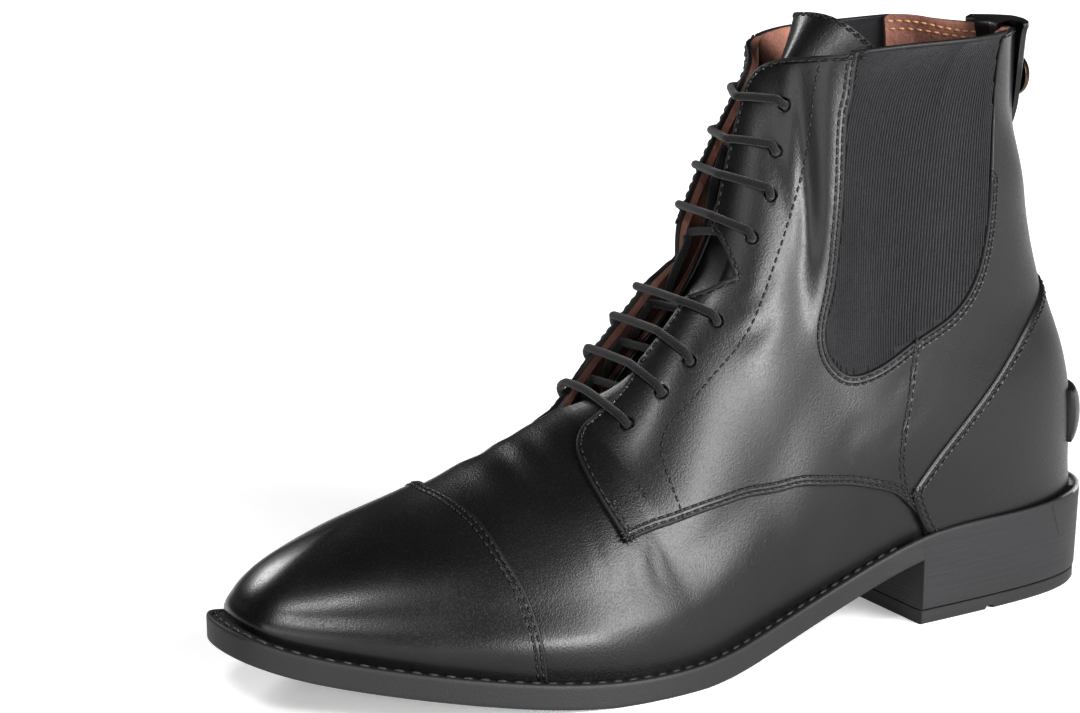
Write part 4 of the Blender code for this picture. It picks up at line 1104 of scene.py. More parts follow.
def leather_material():
    """Black, lightly polished leather with a fine grain, pulled in along its stitching, with painted shade in
    the grooves.
    """
    made, tree, shader = new_material("boot_leather", Specular_IOR_Level=0.40, Coat_Roughness=0.22)
    cloud = use_group(tree, CLOUDINESS, {"Cloud Size": 38.0, "Speckle Size": 1300.0})
    grain = use_group(tree, GRAIN, {"Cell Scale": 2000.0, "Cell Depth": 1.0, "Fold Depth": 0.12})
    tone = maths(tree, "ADD", remap(tree, cloud.outputs["Clouds"], *CLOUD_RANGE, 0.0, 0.7),
                 maths(tree, "MULTIPLY", cloud.outputs["Speckle"], 0.3), True)
    grooves = 0.0
    for name, rows in (("double", STITCH_ROWS), ("single", (SINGLE_ROW,)), ("eyestay", (0.0,)),
                       ("seam", SEAM_ROWS[1:])):
        distance = attribute(tree, name)
        for row in rows:
            groove = use_group(tree, GROOVE, {"Distance": distance, "Row": row})
            grooves = maths(tree, "MAXIMUM", grooves, groove.outputs["Depth"])
    colour = blend_colours(tree, tone, LEATHER, LEATHER_WORN)
    grooves = maths(tree, "MULTIPLY", grooves, GROOVE_DEPTH)
    # The stitch grooves are painted darker: painted shade in the troughs.
    tree.links.new(blend_colours(tree, grooves, colour, shaded(LEATHER, 0.2)), shader.inputs["Base Color"])
    rough = maths(tree, "ADD", remap(tree, cloud.outputs["Clouds"], *CLOUD_RANGE, *LEATHER_ROUGHNESS),
                  maths(tree, "MULTIPLY", grain.outputs["Pores"], 0.12))
    near_edge = maths(tree, "MINIMUM", attribute(tree, "double"), attribute(tree, "single"))
    rough = maths(tree, "ADD", rough, remap(tree, near_edge, *DULL_EDGE, DULL_ROUGHNESS, 0.0))
    along = coordinate(tree, "Y")
    rough = maths(tree, "SUBTRACT", rough, remap(tree, along, *TOE_POLISH, 0.05, 0.0))
    tree.links.new(rough, shader.inputs["Roughness"])
    tree.links.new(remap(tree, near_edge, *DULL_EDGE, *COAT), shader.inputs["Coat Weight"])
    grained = maths(tree, "MULTIPLY", grain.outputs["Height"], remap(tree, along, *TOE_POLISH, *GRAIN_DEPTH))
    bump(tree, shader, maths(tree, "SUBTRACT", grained, grooves), *LEATHER_BUMP)
    return made


GROOVE = stitch_groove_group()
LEATHER_LOOK = leather_material()
LINING_LOOK = lining_material("lining_leather", 1.0)
STITCH_LINES = []
LINING_LINES = []


def stitch_line(line, side, distance, lift):
    """Remember a row of stitches at a distance from a line on the boot."""
    if distance:
        line = shifted(line, side, distance)
    line = np.stack([np.clip(line[:, 0], 0, BACK), np.clip(line[:, 1], 0, 1)], -1)
    points = lifted(line[:, 0], line[:, 1], side, lift - STITCH_SINK)
    STITCH_LINES.append((points, last_normal(line[:, 0], line[:, 1], side)))


def lining_row(line, side, distance):
    """Remember a row of tan stitches in the lining below the collar."""
    line = shifted(line, side, distance)
    points = lifted(line[:, 0], line[:, 1], side, VAMP_LIFT - WALL)
    LINING_LINES.append((points, -last_normal(line[:, 0], line[:, 1], side)))


def finish_panel(name, form, looks, *nodes):
    bmesh.ops.remove_doubles(form, verts=form.verts, dist=WELD_DISTANCE)
    return finish_piece(name, form, looks, 55, "leather", *nodes)


GORE_REAR = ((16.9, 1.0), (16.79, 0.87), (16.63, 0.658), (16.46, 0.518), (16.23, 0.402), (15.96, 0.342),
             (15.49, 0.296), (14.69, 0.271))
GORE_EDGE = run(*GORE_REAR, (13.72, 0.266), (13.22, 0.281), (12.89, 0.312), (12.79, 0.352), (13.16, 0.392),
                (13.59, 0.467), (13.92, 0.573), (14.20, 0.72), (14.42, 0.90), (14.5, 1.0))
NOTCH_EDGES = (run((10.46, 1.0), (10.44, 0.82), (10.44, 0.715)),
               run((10.44, 0.715), (10.18, 0.774), (9.58, 0.93), (9.45, 1.0)))
LINING_WINDOW = run(*GORE_REAR, (14.1, 0.29), (13.8, 0.34), (13.95, 0.42), (14.3, 0.52), (14.65, 0.66),
                    (14.95, 0.82), (15.12, 0.94), (15.15, 1.0))
LINING_FRONT = run((15.15, 1.0), (14.8, 1.0), (14.5, 1.0))
FACING_TOP = run((14.5, 1.0), (13.9, 1.0), (13.4, 1.0), (12.5, 1.0), (11.5, 1.0), (10.46, 1.0))
FACING_LOW = run((9.45, 1.0), (8.9, 1.0), (8.35, 1.0))
LINING_LOW = run((9.45, 1.0), (8.3, 1.0), (7.0, 1.0))
COLLAR_BACK = run((20.0, 1.0), (18.5, 1.0), (16.9, 1.0))


def upper():
    sections = np.unique(np.r_[even_sections(0, THROAT, MID_TURN, CELL),
                               even_sections(THROAT, BACK, MID_TURN, CELL)])
    lattice = (sections, even_turns(0, 1, CELL))
    lifts = (VAMP_LIFT, VAMP_LIFT - WALL, VAMP_LIFT - WALL)
    edges = (COLLAR_BACK, LINING_WINDOW, LINING_FRONT, FACING_TOP, *NOTCH_EDGES, LINING_LOW)
    outer = [(np.array([(PAST_TOE, PAST_SOLE), (PAST_BACK, PAST_SOLE), (PAST_BACK, PAST_TOP)]), False),
             *[(edge, True) for edge in edges],
             (np.array([(THROAT - 0.01, PAST_TOP), (PAST_TOE, PAST_TOP)]), False)]
    form = leather_form()
    for side in SIDES:
        cut_sheet(form, {}, side, lattice, [outer], lifts, LINING_ROLL, 1)
        for row in LINING_ROWS:
            lining_row(COLLAR_BACK, side, row)
    return finish_panel("vamp_and_lining", form, [LEATHER_LOOK, LINING_LOOK], "upper")


upper()


# Toe cap
# A straight cap of the same leather laid over the vamp, its edge turned in and held by two rows.
# It is lasted together with the vamp, so it has no seam at the tip.
TOE_CAP_EDGE = run((4.64, 0.0), (4.64, 0.236), (4.61, 0.347), (4.54, 0.467), (4.47, 0.658), (4.37, 0.834),
                   (4.30, 1.0))
TOE_CAP_END = 4.9
TOE_CAP_HEIGHT = 90.0
OVERLAY_LIFT = 0.5
OVERLAY_THICKNESS = 1.0
OVERLAY_LIFTS = (OVERLAY_LIFT, OVERLAY_LIFT - OVERLAY_THICKNESS, VAMP_LIFT + 0.05)
EDGE_ROLL = 0.55


def toe_cap():
    lattice = (even_sections(0, TOE_CAP_END, MID_TURN, CELL), even_turns(0, 1, CELL, TOE_CAP_HEIGHT))
    low, high = TOE_CAP_EDGE[[0, -1], 0]
    loop = [(np.array([(PAST_TOE, PAST_TOP), (PAST_TOE, PAST_SOLE), (low, PAST_SOLE)]), False),
            (TOE_CAP_EDGE, True), (np.array([(high, PAST_TOP)]), False)]
    form = leather_form()
    for side in SIDES:
        cut_sheet(form, {"double": [TOE_CAP_EDGE]}, side, lattice, [loop], OVERLAY_LIFTS, EDGE_ROLL)
        for row in STITCH_ROWS:
            stitch_line(TOE_CAP_EDGE, side, row, OVERLAY_LIFT)
    return finish_panel("toe_cap_leather", form, [LEATHER_LOOK, LEATHER_LOOK], "toe_cap")


toe_cap()


# Quarters
# The two sides of the boot, cut with the facing for the lace and the window for the elastic. Each is
# lapped over the vamp and sewn with two rows, and a seam under the window joins its two panels.
QUARTER_LOW = run((6.33, 0.403), (6.60, 0.402), (7.25, 0.390), (7.93, 0.371), (8.63, 0.335), (9.48, 0.295),
                  (10.46, 0.246), (11.55, 0.193), (12.31, 0.162), (12.95, 0.134), (13.50, 0.108),
                  (13.99, 0.079), (14.22, 0.055), (14.39, 0.035), (14.5, 0.0))
QUARTER_FRONT = run((8.35, 1.0), (8.01, 0.93), (7.58, 0.874), (7.08, 0.824), (6.84, 0.804), (6.54, 0.749),
                    (6.44, 0.704), (6.31, 0.533), (6.33, 0.403))
EYESTAY = run((13.86, 0.864), (13.32, 0.643), (12.52, 0.568), (11.52, 0.558), (10.68, 0.568), (9.58, 0.613),
              (8.61, 0.628), (8.05, 0.628), (7.81, 0.588), (7.68, 0.503), (7.58, 0.392))
PANEL_SEAM = run((14.79, 0.271), (14.39, 0.191), (14.09, 0.111), (14.19, 0.07))
EYELETS = ((7.55, 0.734), (8.28, 0.744), (8.91, 0.729), (9.72, 0.724),
           (11.15, 0.678), (12.02, 0.653), (12.55, 0.693), (13.12, 0.764))
BAR_TACK = (run((6.52, 0.524), (6.80, 0.520), (7.10, 0.517)),
            run((6.54, 0.503), (6.80, 0.499), (7.10, 0.496)),
            run((7.11, 0.520), (7.12, 0.506), (7.11, 0.493)))
BAR_TACK_TURN = 0.524
EYELET_RADIUS = 1.75
EYELET_STEPS = 24
GORE_SEWN_FROM = 16.44
# The lattice is finer round the eyelets: stretches along the boot and up the leg, each with its cell
FINE_CELL = 1.1
OVER_TOP = 1.03
QUARTER_SECTIONS = ((6.2, 7.2, MID_TURN, CELL), (7.2, 13.6, 0.7, FINE_CELL), (13.6, BACK, MID_TURN, CELL))
QUARTER_TURNS = ((0, 0.595, CELL), (0.6, 0.84, FINE_CELL), (0.85, 1.0, CELL))


def circle_on_boot(place, radius, side):
    """A small circle on the boot's surface, as (section, turn) places."""
    step = 1e-3
    base = last_surface(*place, side)
    by_section = (last_surface(place[0] + step, place[1], side) - base) / step
    by_turn = (last_surface(place[0], place[1] + step, side) - base) / step
    matrix = np.stack([by_section, by_turn], -1)
    normal = last_normal(*place, side)
    across = by_section / np.linalg.norm(by_section)
    up = np.cross(normal, across)
    ring = []
    for angle in np.linspace(0, 2 * math.pi, EYELET_STEPS + 1)[:-1]:
        offset = radius * (math.cos(angle) * across + math.sin(angle) * up)
        ring.append(np.array(place) + np.linalg.lstsq(matrix, offset, rcond=None)[0])
    return np.array(ring)


def quarter(name, side, node_name):
    sections = np.unique(np.concatenate([even_sections(*stretch) for stretch in QUARTER_SECTIONS]))
    turns = np.concatenate([even_turns(*stretch) for stretch in QUARTER_TURNS] + [[OVER_TOP]])
    edges = (COLLAR_BACK, GORE_EDGE, FACING_TOP, *NOTCH_EDGES, FACING_LOW, QUARTER_FRONT)
    heel = np.array([(QUARTER_LOW[-1, 0], PAST_SOLE), (PAST_BACK, PAST_SOLE), (PAST_BACK, 1.0)])
    outer = [(QUARTER_LOW, True), (heel, False), *[(edge, True) for edge in edges]]
    holes = [[(circle_on_boot(place, EYELET_RADIUS, side), True)] for place in EYELETS]
    gore_sewn = GORE_EDGE[GORE_EDGE[:, 0] < GORE_SEWN_FROM]
    marks = {"double": [QUARTER_LOW, gore_sewn], "eyestay": [EYESTAY, *BAR_TACK], "seam": [PANEL_SEAM],
             "single": [COLLAR_BACK, FACING_TOP, FACING_LOW, QUARTER_FRONT, *NOTCH_EDGES]}
    form = leather_form()
    cut_sheet(form, marks, side, (sections, turns), [outer, *holes], OVERLAY_LIFTS, EDGE_ROLL)
    for line in marks["double"]:
        for row in STITCH_ROWS:
            stitch_line(line, side, row, OVERLAY_LIFT)
    for line in marks["single"]:
        stitch_line(line, side, SINGLE_ROW, OVERLAY_LIFT)
    stitch_line(EYESTAY, side, 0.0, OVERLAY_LIFT)
    below_tack = QUARTER_FRONT[QUARTER_FRONT[:, 1] < BAR_TACK_TURN]
    stitch_line(below_tack, side, STITCH_ROWS[1], OVERLAY_LIFT)
    for line in BAR_TACK:
        stitch_line(line, side, 0.0, OVERLAY_LIFT)
    for row in SEAM_ROWS:
        stitch_line(PANEL_SEAM, side, row, OVERLAY_LIFT)
    return finish_panel(name, form, [LEATHER_LOOK, LEATHER_LOOK], node_name)


quarter("quarter_outer_side", LATERAL, "quarter_lateral")
quarter("quarter_inner_side", MEDIAL, "quarter_medial")


# Counter
# The stiffened heel cover, laid over both quarters and sewn on with two rows along its top edge.
# It is one piece of the same leather round the back, pared thin where it ends.
COUNTER_EDGE = run((14.25, 0.075), (15.33, 0.141), (16.66, 0.236), (18.06, 0.296), (20.0, 0.330))
COUNTER_FRONT = run((14.55, 0.0), (14.36, 0.04), (14.25, 0.075))
COUNTER_LIFTS = (1.35, 0.65, 0.45)
COUNTER_START = 14.1
COUNTER_LATTICE_TURN = 0.15
COUNTER_TOP_TURN = 0.38


def counter():
    lattice = (even_sections(COUNTER_START, BACK, COUNTER_LATTICE_TURN, CELL),
               even_turns(0, COUNTER_TOP_TURN, CELL))
    front, top = COUNTER_FRONT[0, 0], COUNTER_EDGE[-1, 1]
    heel = np.array([(PAST_BACK, top), (PAST_BACK, PAST_SOLE), (front, PAST_SOLE)])
    loop = [(COUNTER_FRONT, True), (COUNTER_EDGE, True), (heel, False)]
    marks = {"double": [COUNTER_EDGE, COUNTER_FRONT]}
    form = leather_form()
    for side in SIDES:
        cut_sheet(form, marks, side, lattice, [loop], COUNTER_LIFTS, EDGE_ROLL)
        for row in STITCH_ROWS:
            stitch_line(COUNTER_EDGE, side, -row, COUNTER_LIFTS[0])
            stitch_line(COUNTER_FRONT, side, -row, COUNTER_LIFTS[0])
    return finish_panel("counter_leather", form, [LEATHER_LOOK, LEATHER_LOOK], "counter")


counter()


# Elastic gores
# A woven elastic panel in each window, held between quarter and lining, with a fold of tape along
# its top. Its cords run up the leg side by side and show as fine ribs.
RIB_PITCH = 0.85
RIB_RADIUS = 0.40
RIB_LIFT = 0.05
RIB_STEP = 1.6
RIB_SIDES = 6
RIB_POINTS = 90
RIB_SECTIONS = (13.4, 17.2)
RIB_TURNS = (0.24, 0.994)
# How far the ribs lean from top to foot, at the front and the rear end of the window's top
RIB_LEAN = (-2.63, -1.43)
GORE_TOP = (14.5, 16.9)
GORE_TOP_MIDDLE = 15.5
GORE_FACE = -0.75
GORE_LIFTS = (GORE_FACE, GORE_FACE - 0.3, GORE_FACE - 0.15)
GORE_ROLL = 0.05
GORE_FLANGE = 3.0
GORE_FLANGE_TURNS = (0.1, 0.97)
GORE_SECTIONS = (12.5, 17.4)
GORE_LATTICE_TURN = 0.6
GORE_FOOT_TURN = 0.2
TAPE_SECTIONS = (14.35, 17.0)
TAPE_POINTS = 60
TAPE_RADIUS = 0.75
TAPE_STEP = 1.5
TAPE_SIDES = 8
ELASTIC = (0.011, 0.011, 0.0125, 1.0)
ELASTIC_LIGHT = (0.021, 0.021, 0.024, 1.0)
ELASTIC_ROUGHNESS = (0.65, 0.9)
ELASTIC_BUMP = (0.5, 0.0003)
WEAVE_STRETCH = (500.0, 500.0, 2400.0)


def cord_tree():
    """Gives every line of a mesh a round body and stores the way along it and the way round it."""
    tree = bpy.data.node_groups.new("cord_runs", "GeometryNodeTree")
    for name, kind in (("Lines", "Geometry"), ("Step", "Float"), ("Radius", "Float"), ("Sides", "Int"),
                       ("Look", "Material")):
        tree.interface.new_socket(name, in_out="INPUT", socket_type="NodeSocket" + kind)
    tree.interface.new_socket("Cords", in_out="OUTPUT", socket_type="NodeSocketGeometry")
    start = node(tree, "NodeGroupInput")
    lines = node(tree, "GeometryNodeMeshToCurve", {"Mesh": start.outputs["Lines"]})
    smooth = node(tree, "GeometryNodeCurveSplineType", {"Curve": lines.outputs[0]}, spline_type="CATMULL_ROM")
    even = node(tree, "GeometryNodeResampleCurve",
                {"Curve": smooth.outputs[0], "Length": start.outputs["Step"]}, mode="LENGTH")
    length = node(tree, "GeometryNodeSplineParameter")
    along = node(tree, "GeometryNodeStoreNamedAttribute",
                 {"Geometry": even.outputs[0], "Name": "along", "Value": length.outputs["Length"]},
                 data_type="FLOAT", domain="POINT")
    ring = node(tree, "GeometryNodeCurvePrimitiveCircle",
                {"Resolution": start.outputs["Sides"], "Radius": start.outputs["Radius"]})
    part = node(tree, "GeometryNodeSplineParameter")
    doubled = maths(tree, "MULTIPLY", part.outputs["Factor"], 2.0)
    mirrored = maths(tree, "ABSOLUTE", maths(tree, "SUBTRACT", doubled, 1.0))
    around_it = node(tree, "GeometryNodeStoreNamedAttribute",
                     {"Geometry": ring.outputs[0], "Name": "around", "Value": mirrored},
                     data_type="FLOAT", domain="POINT")
    body = node(tree, "GeometryNodeCurveToMesh",
                {"Curve": along.outputs[0], "Profile Curve": around_it.outputs[0], "Fill Caps": True})
    real = node(tree, "GeometryNodeRealizeInstances", {"Geometry": body.outputs[0]})
    soft = node(tree, "GeometryNodeSetShadeSmooth", {"Geometry": real.outputs[0]})
    dyed = node(tree, "GeometryNodeSetMaterial",
                {"Geometry": soft.outputs[0], "Material": start.outputs["Look"]})
    node(tree, "NodeGroupOutput", {"Cords": dyed.outputs[0]})
    return tree


CORD_TREE = cord_tree()


def cords(name, lines, step, radius, sides, look):
    lines = [(line, np.zeros_like(line)) for line in lines]
    values = {"Step": step * MM, "Radius": radius * MM, "Sides": sides, "Look": look}
    return made_by_tree(name, line_mesh(name, lines), CORD_TREE, values)


def elastic_material():
    """Dark matt webbing with a fine weave across its cords."""
    made, tree, shader = new_material("gore_elastic", Specular_IOR_Level=0.25, Sheen_Weight=0.15)
    cloud = use_group(tree, CLOUDINESS, {"Cloud Size": 70.0, "Speckle Size": 1600.0})
    weave = noise(tree, stretched(tree, WEAVE_STRETCH), 1.0, 2.0)
    tone = maths(tree, "ADD", remap(tree, weave, 0.3, 0.7, 0.0, 0.8),
                 maths(tree, "MULTIPLY", cloud.outputs["Clouds"], 0.8), True)
    tree.links.new(blend_colours(tree, tone, ELASTIC, ELASTIC_LIGHT), shader.inputs["Base Color"])
    rough = remap(tree, cloud.outputs["Speckle"], *CLOUD_RANGE, *ELASTIC_ROUGHNESS)
    tree.links.new(rough, shader.inputs["Roughness"])
    bump(tree, shader, weave, *ELASTIC_BUMP)
    return made


ELASTIC_LOOK = elastic_material()


def rib_lines(side):
    """The cords of a gore, side by side at its top, each cut off where it leaves the window."""
    starts = np.linspace(*RIB_SECTIONS, 400)
    travelled = way_along(last_surface(starts, 1.0, side))
    starts = np.interp(np.arange(0, travelled[-1], RIB_PITCH), travelled, starts)
    turns = np.linspace(*RIB_TURNS, RIB_POINTS)
    leans = np.interp(starts, GORE_TOP, RIB_LEAN)
    sections = starts[:, None] + leans[:, None] * (1 - turns)
    kept = [inside(sections[:, j], turns[j:j + 1], [GORE_EDGE])[:, 0] for j in range(len(turns))]
    lines = []
    for row, in_window in zip(sections, np.stack(kept, -1)):
        places = np.flatnonzero(in_window)
        for part in np.split(places, np.flatnonzero(np.diff(places) > 1) + 1):
            if len(part) > 3:
                lines.append(lifted(row[part], turns[part], side, GORE_FACE + RIB_LIFT))
    return lines


def gore(name, side, node_name):
    lattice = (even_sections(*GORE_SECTIONS, GORE_LATTICE_TURN, CELL),
               np.r_[even_turns(GORE_FOOT_TURN, 1.0, CELL), OVER_TOP])
    edge = shifted(GORE_EDGE, side, GORE_FLANGE)
    edge = edge[(edge[:, 1] > GORE_FLANGE_TURNS[0]) & (edge[:, 1] < GORE_FLANGE_TURNS[1])]
    top = run((edge[0, 0], 1.0), (GORE_TOP_MIDDLE, 1.0), (edge[-1, 0], 1.0))[::-1]
    form = leather_form()
    cut_sheet(form, {}, side, lattice, [[(edge, True), (top, True)]], GORE_LIFTS, GORE_ROLL)
    finish_panel(name, form, [ELASTIC_LOOK, ELASTIC_LOOK], node_name)
    tape = lifted(np.linspace(*TAPE_SECTIONS, TAPE_POINTS), 1.0, side, GORE_LIFTS[2])
    fold = cords(name + "_tape", [tape], TAPE_STEP, TAPE_RADIUS, TAPE_SIDES, WAXED_THREAD)
    carried(fold, "elastic", node_name)
    ribs = cords(name + "_ribs", rib_lines(side), RIB_STEP, RIB_RADIUS, RIB_SIDES, ELASTIC_LOOK)
    return carried(ribs, "elastic", node_name)


gore("gore_outer_side", LATERAL, "elastic_gore_lateral")
gore("gore_inner_side", MEDIAL, "elastic_gore_medial")


# Tongue
# A soft tongue of the same leather, sewn in under the vamp and standing a little above the lacing.
# It is lined with the brown leather, and two rows of stitches close its top edge.
TONGUE_THICKNESS = 2.2
TONGUE_SECTIONS = (6.5, 12.0)
TONGUE_EDGE_TURN = 0.70
TONGUE_ROWS = 56
TONGUE_TOP_ROWS = 26
TONGUE_COLUMNS = 33
TONGUE_STITCH_ROWS = (-3, -4)
# The two sides of the boot's form run into each other over this half width of the tongue
TONGUE_BLEND = 0.12
# Depth below the boot's form across the tongue, from the outer edge to the inner edge
TONGUE_DEPTHS = ((1.0, -6.3), (0.5, -6.6), (0.0, -8.8), (-0.3, -11.0), (-0.6, -10.0), (-1.0, -7.0))
# The top edge in boot millimetres, from the outer edge over the front to the inner edge
TONGUE_TOP = ((1.0, 26.0, -88.0, 170.0), (0.7, 23.0, -92.0, 174.5), (0.35, 13.0, -100.0, 183.2),
              (0.0, 0.0, -104.5, 184.4), (-0.35, -11.0, -99.0, 182.0), (-0.7, -18.0, -91.0, 175.0),
              (-1.0, -20.0, -87.0, 170.0))


def tongue_face():
    """The tongue's outer face: rows up the boot, then rows that lean back to the top edge."""
    across = np.linspace(1, -1, TONGUE_COLUMNS)
    turns = 1 - np.abs(across) * (1 - TONGUE_EDGE_TURN)
    knots = np.array(TONGUE_DEPTHS)[::-1]
    depths = spline(knots[:, 0], knots[:, 1])(across)
    rows = []
    for section in np.linspace(*TONGUE_SECTIONS, TONGUE_ROWS):
        sides = [lifted(section, turns, side, depths) for side in SIDES]
        share = smooth_step((across + TONGUE_BLEND) / (2 * TONGUE_BLEND))[:, None]
        rows.append(share * sides[0] + (1 - share) * sides[1])
    top = np.array(TONGUE_TOP)[::-1]
    edge = np.stack([spline(top[:, 0], top[:, k])(across) for k in (1, 2, 3)], -1)
    start = rows[-1]
    lean = (rows[-1] - rows[-4]) / np.linalg.norm(rows[-1] - rows[-4], axis=1, keepdims=True)
    lean = lean * np.linalg.norm(edge - start, axis=1, keepdims=True)
    for share in np.linspace(0, 1, TONGUE_TOP_ROWS)[1:]:
        rows.append(start + lean * share * (1 - share) ** 2 + (edge - start) * smooth_step(share))
    return np.array(rows)


def thickened(face, thickness):
    """The second face of a sheet, behind the first."""
    normal = np.cross(np.gradient(face, axis=0), np.gradient(face, axis=1))
    return face - thickness * normal / np.linalg.norm(normal, axis=-1, keepdims=True)


def two_faced(outer, inner):
    """A closed sheet between two grids of points."""
    form = bmesh.new()
    rows, columns = outer.shape[:2]
    faces = [[[form.verts.new(p) for p in placed(row)] for row in grid] for grid in (outer, inner)]
    for which, grid in enumerate(faces):
        for i in range(rows - 1):
            for j in range(columns - 1):
                made = form.faces.new((grid[i][j], grid[i + 1][j], grid[i + 1][j + 1], grid[i][j + 1]))
                made.material_index = which
    ring = [(i, 0) for i in range(rows)] + [(rows - 1, j) for j in range(1, columns)]
    ring += [(i, columns - 1) for i in range(rows - 2, -1, -1)] + [(0, j) for j in range(columns - 2, 0, -1)]
    for (i, j), (k, m) in zip(ring, ring[1:] + ring[:1]):
        form.faces.new((faces[0][i][j], faces[0][k][m], faces[1][k][m], faces[1][i][j]))
    return unmarked(form)


def tongue():
    face = tongue_face()
    normal = face - thickened(face, 1.0)
    if normal[TONGUE_ROWS // 2, TONGUE_COLUMNS // 2, 1] > 0:
        normal = -normal
    for row in TONGUE_STITCH_ROWS:
        STITCH_LINES.append((face[row], normal[row]))
    form = two_faced(face, face - TONGUE_THICKNESS * normal)
    return finish_piece("tongue_leather", form, [LEATHER_LOOK, LINING_LOOK], 50, "leather", "tongue")


tongue()


# Lace
# One round braided cord of dark cotton, straight across from eyelet to eyelet and up to the next
# pair inside. Both ends stop inside at the top eyelets.
LACE_RADIUS = 1.25
LACE = (0.002, 0.002, 0.0022, 1.0)
LACE_LIGHT = (0.009, 0.009, 0.0095, 1.0)
LACE_ROUGHNESS = (0.7, 0.9)
LACE_BUMP = (0.22, 0.0004)
BRAID_PITCH = 1.1
BRAID_TURNS = 2
FLUFF_SCALE = 3000.0
LACE_STEP = 0.55
LACE_SIDES = 12
LACE_INSIDE = -4.9
# The lace's way through an eyelet: distance from its middle towards the front, and lift over the boot
DIVE = ((-0.9, -4.4), (-0.6, -2.6), (-0.3, -0.9), (0.1, 0.5), (0.9, 1.5), (2.4, 2.1))
LACE_OVER_EDGE = 1.9
LACE_BOW = 1.0
LACE_CROWN = 0.4
LACE_CROWN_TURN = 0.99
TAUT_POINTS = 6
HIDDEN_TURN = 0.60
HIDDEN_START = 0.3
HIDDEN_POINTS = 14
CLIMB = np.linspace(0.15, 0.85, 8)
CROSSINGS = (7.45, 8.20, 8.78, 9.33, 10.62, 11.12, 11.60, 12.27)


def lace_material():
    """Dark cotton braid: strands that cross both ways round the cord, a little fluffy."""
    made, tree, shader = new_material("lace_cord", Specular_IOR_Level=0.25, Sheen_Weight=0.2)
    along = maths(tree, "MULTIPLY", attribute(tree, "along"), 2 * math.pi / (BRAID_PITCH * MM))
    swing = maths(tree, "MULTIPLY", attribute(tree, "around"), BRAID_TURNS * 2 * math.pi)
    one_way = maths(tree, "SINE", maths(tree, "ADD", along, swing))
    other_way = maths(tree, "SINE", maths(tree, "SUBTRACT", along, swing))
    braid = maths(tree, "MAXIMUM", one_way, other_way)
    fluff = noise(tree, stretched(tree), FLUFF_SCALE, 2.0)
    tone = maths(tree, "ADD", remap(tree, braid, -0.2, 1.0, 0.25, 0.6),
                 remap(tree, fluff, 0.3, 0.7, -0.2, 0.3), True)
    tree.links.new(blend_colours(tree, tone, LACE, LACE_LIGHT), shader.inputs["Base Color"])
    tree.links.new(remap(tree, fluff, 0.3, 0.7, *LACE_ROUGHNESS), shader.inputs["Roughness"])
    bump(tree, shader, maths(tree, "ADD", braid, maths(tree, "MULTIPLY", fluff, 0.6)), *LACE_BUMP)
    return made


def lace_end(place, crossing, side):
    """Points of the lace from inside the facing, up through the eyelet and taut to the facing's edge."""
    place = np.array(place)
    heading = np.array((crossing, 1.0)) - place
    step = 1e-3
    size = np.linalg.norm(last_surface(*(place + step * heading), side) - last_surface(*place, side)) / step
    dive = place + np.array([offset / size for offset, _ in DIVE])[:, None] * heading
    points = lifted(dive[:, 0], dive[:, 1], side, np.array([lift for _, lift in DIVE]))
    edge = lifted(np.array([crossing]), np.array([1.0]), side, np.array([LACE_OVER_EDGE]))[0]
    outward = last_normal(*(place + 0.5 * heading), side)
    share = np.linspace(0, 1, TAUT_POINTS + 1)[1:, None]
    taut = points[-1] + (edge - points[-1]) * share + LACE_BOW * np.sin(math.pi * share) * outward
    return np.concatenate([points, taut])


def lace():
    first = EYELETS[0]
    top = EYELETS[-1]
    sections = np.linspace(top[0] - HIDDEN_START, first[0], HIDDEN_POINTS)
    hidden = lifted(sections, HIDDEN_TURN, LATERAL, LACE_INSIDE)
    route = [lifted(*np.array([top]).T, LATERAL, np.array([LACE_INSIDE])), hidden]
    for number, (place, crossing) in enumerate(zip(EYELETS, CROSSINGS)):
        lateral = lace_end(place, crossing, LATERAL)
        medial = lace_end(place, crossing, MEDIAL)
        crown = LACE_CROWN * last_normal(crossing, LACE_CROWN_TURN, LATERAL)
        route += [lateral, (lateral[-1] + medial[-1])[None] / 2 + crown, medial[::-1]]
        if number + 1 < len(EYELETS):
            ahead = EYELETS[number + 1]
            section = place[0] + (ahead[0] - place[0]) * CLIMB
            over = (2 - place[1] - ahead[1]) * CLIMB
            crossed = over > 1 - place[1]
            turn = np.where(crossed, 1 - (over - (1 - place[1])), place[1] + over)
            inner = lifted(section, turn, MEDIAL, LACE_INSIDE)
            outer = lifted(section, turn, LATERAL, LACE_INSIDE)
            route.append(np.where(crossed[:, None], outer, inner))
    piece = cords("lace", [np.concatenate(route)], LACE_STEP, LACE_RADIUS, LACE_SIDES, lace_material())
    return carried(piece, "cord", *[f"lace_bar_{number}" for number in range(1, len(EYELETS) + 1)])


lace()


# Spur rest
# A half-round ledge of stacked leather across the back of the heel, nailed through the counter.
# It keeps a spur from sliding down and is dyed black like the upper.
SPUR_SECTIONS = (18.3, 20.0)
SPUR_TURNS = (0.068, 0.142)
SPUR_BASE_LIFT = 1.25
SPUR_EDGE = 1.3
SPUR_STAND_OFF = 5.35
SPUR_STEPS = 24


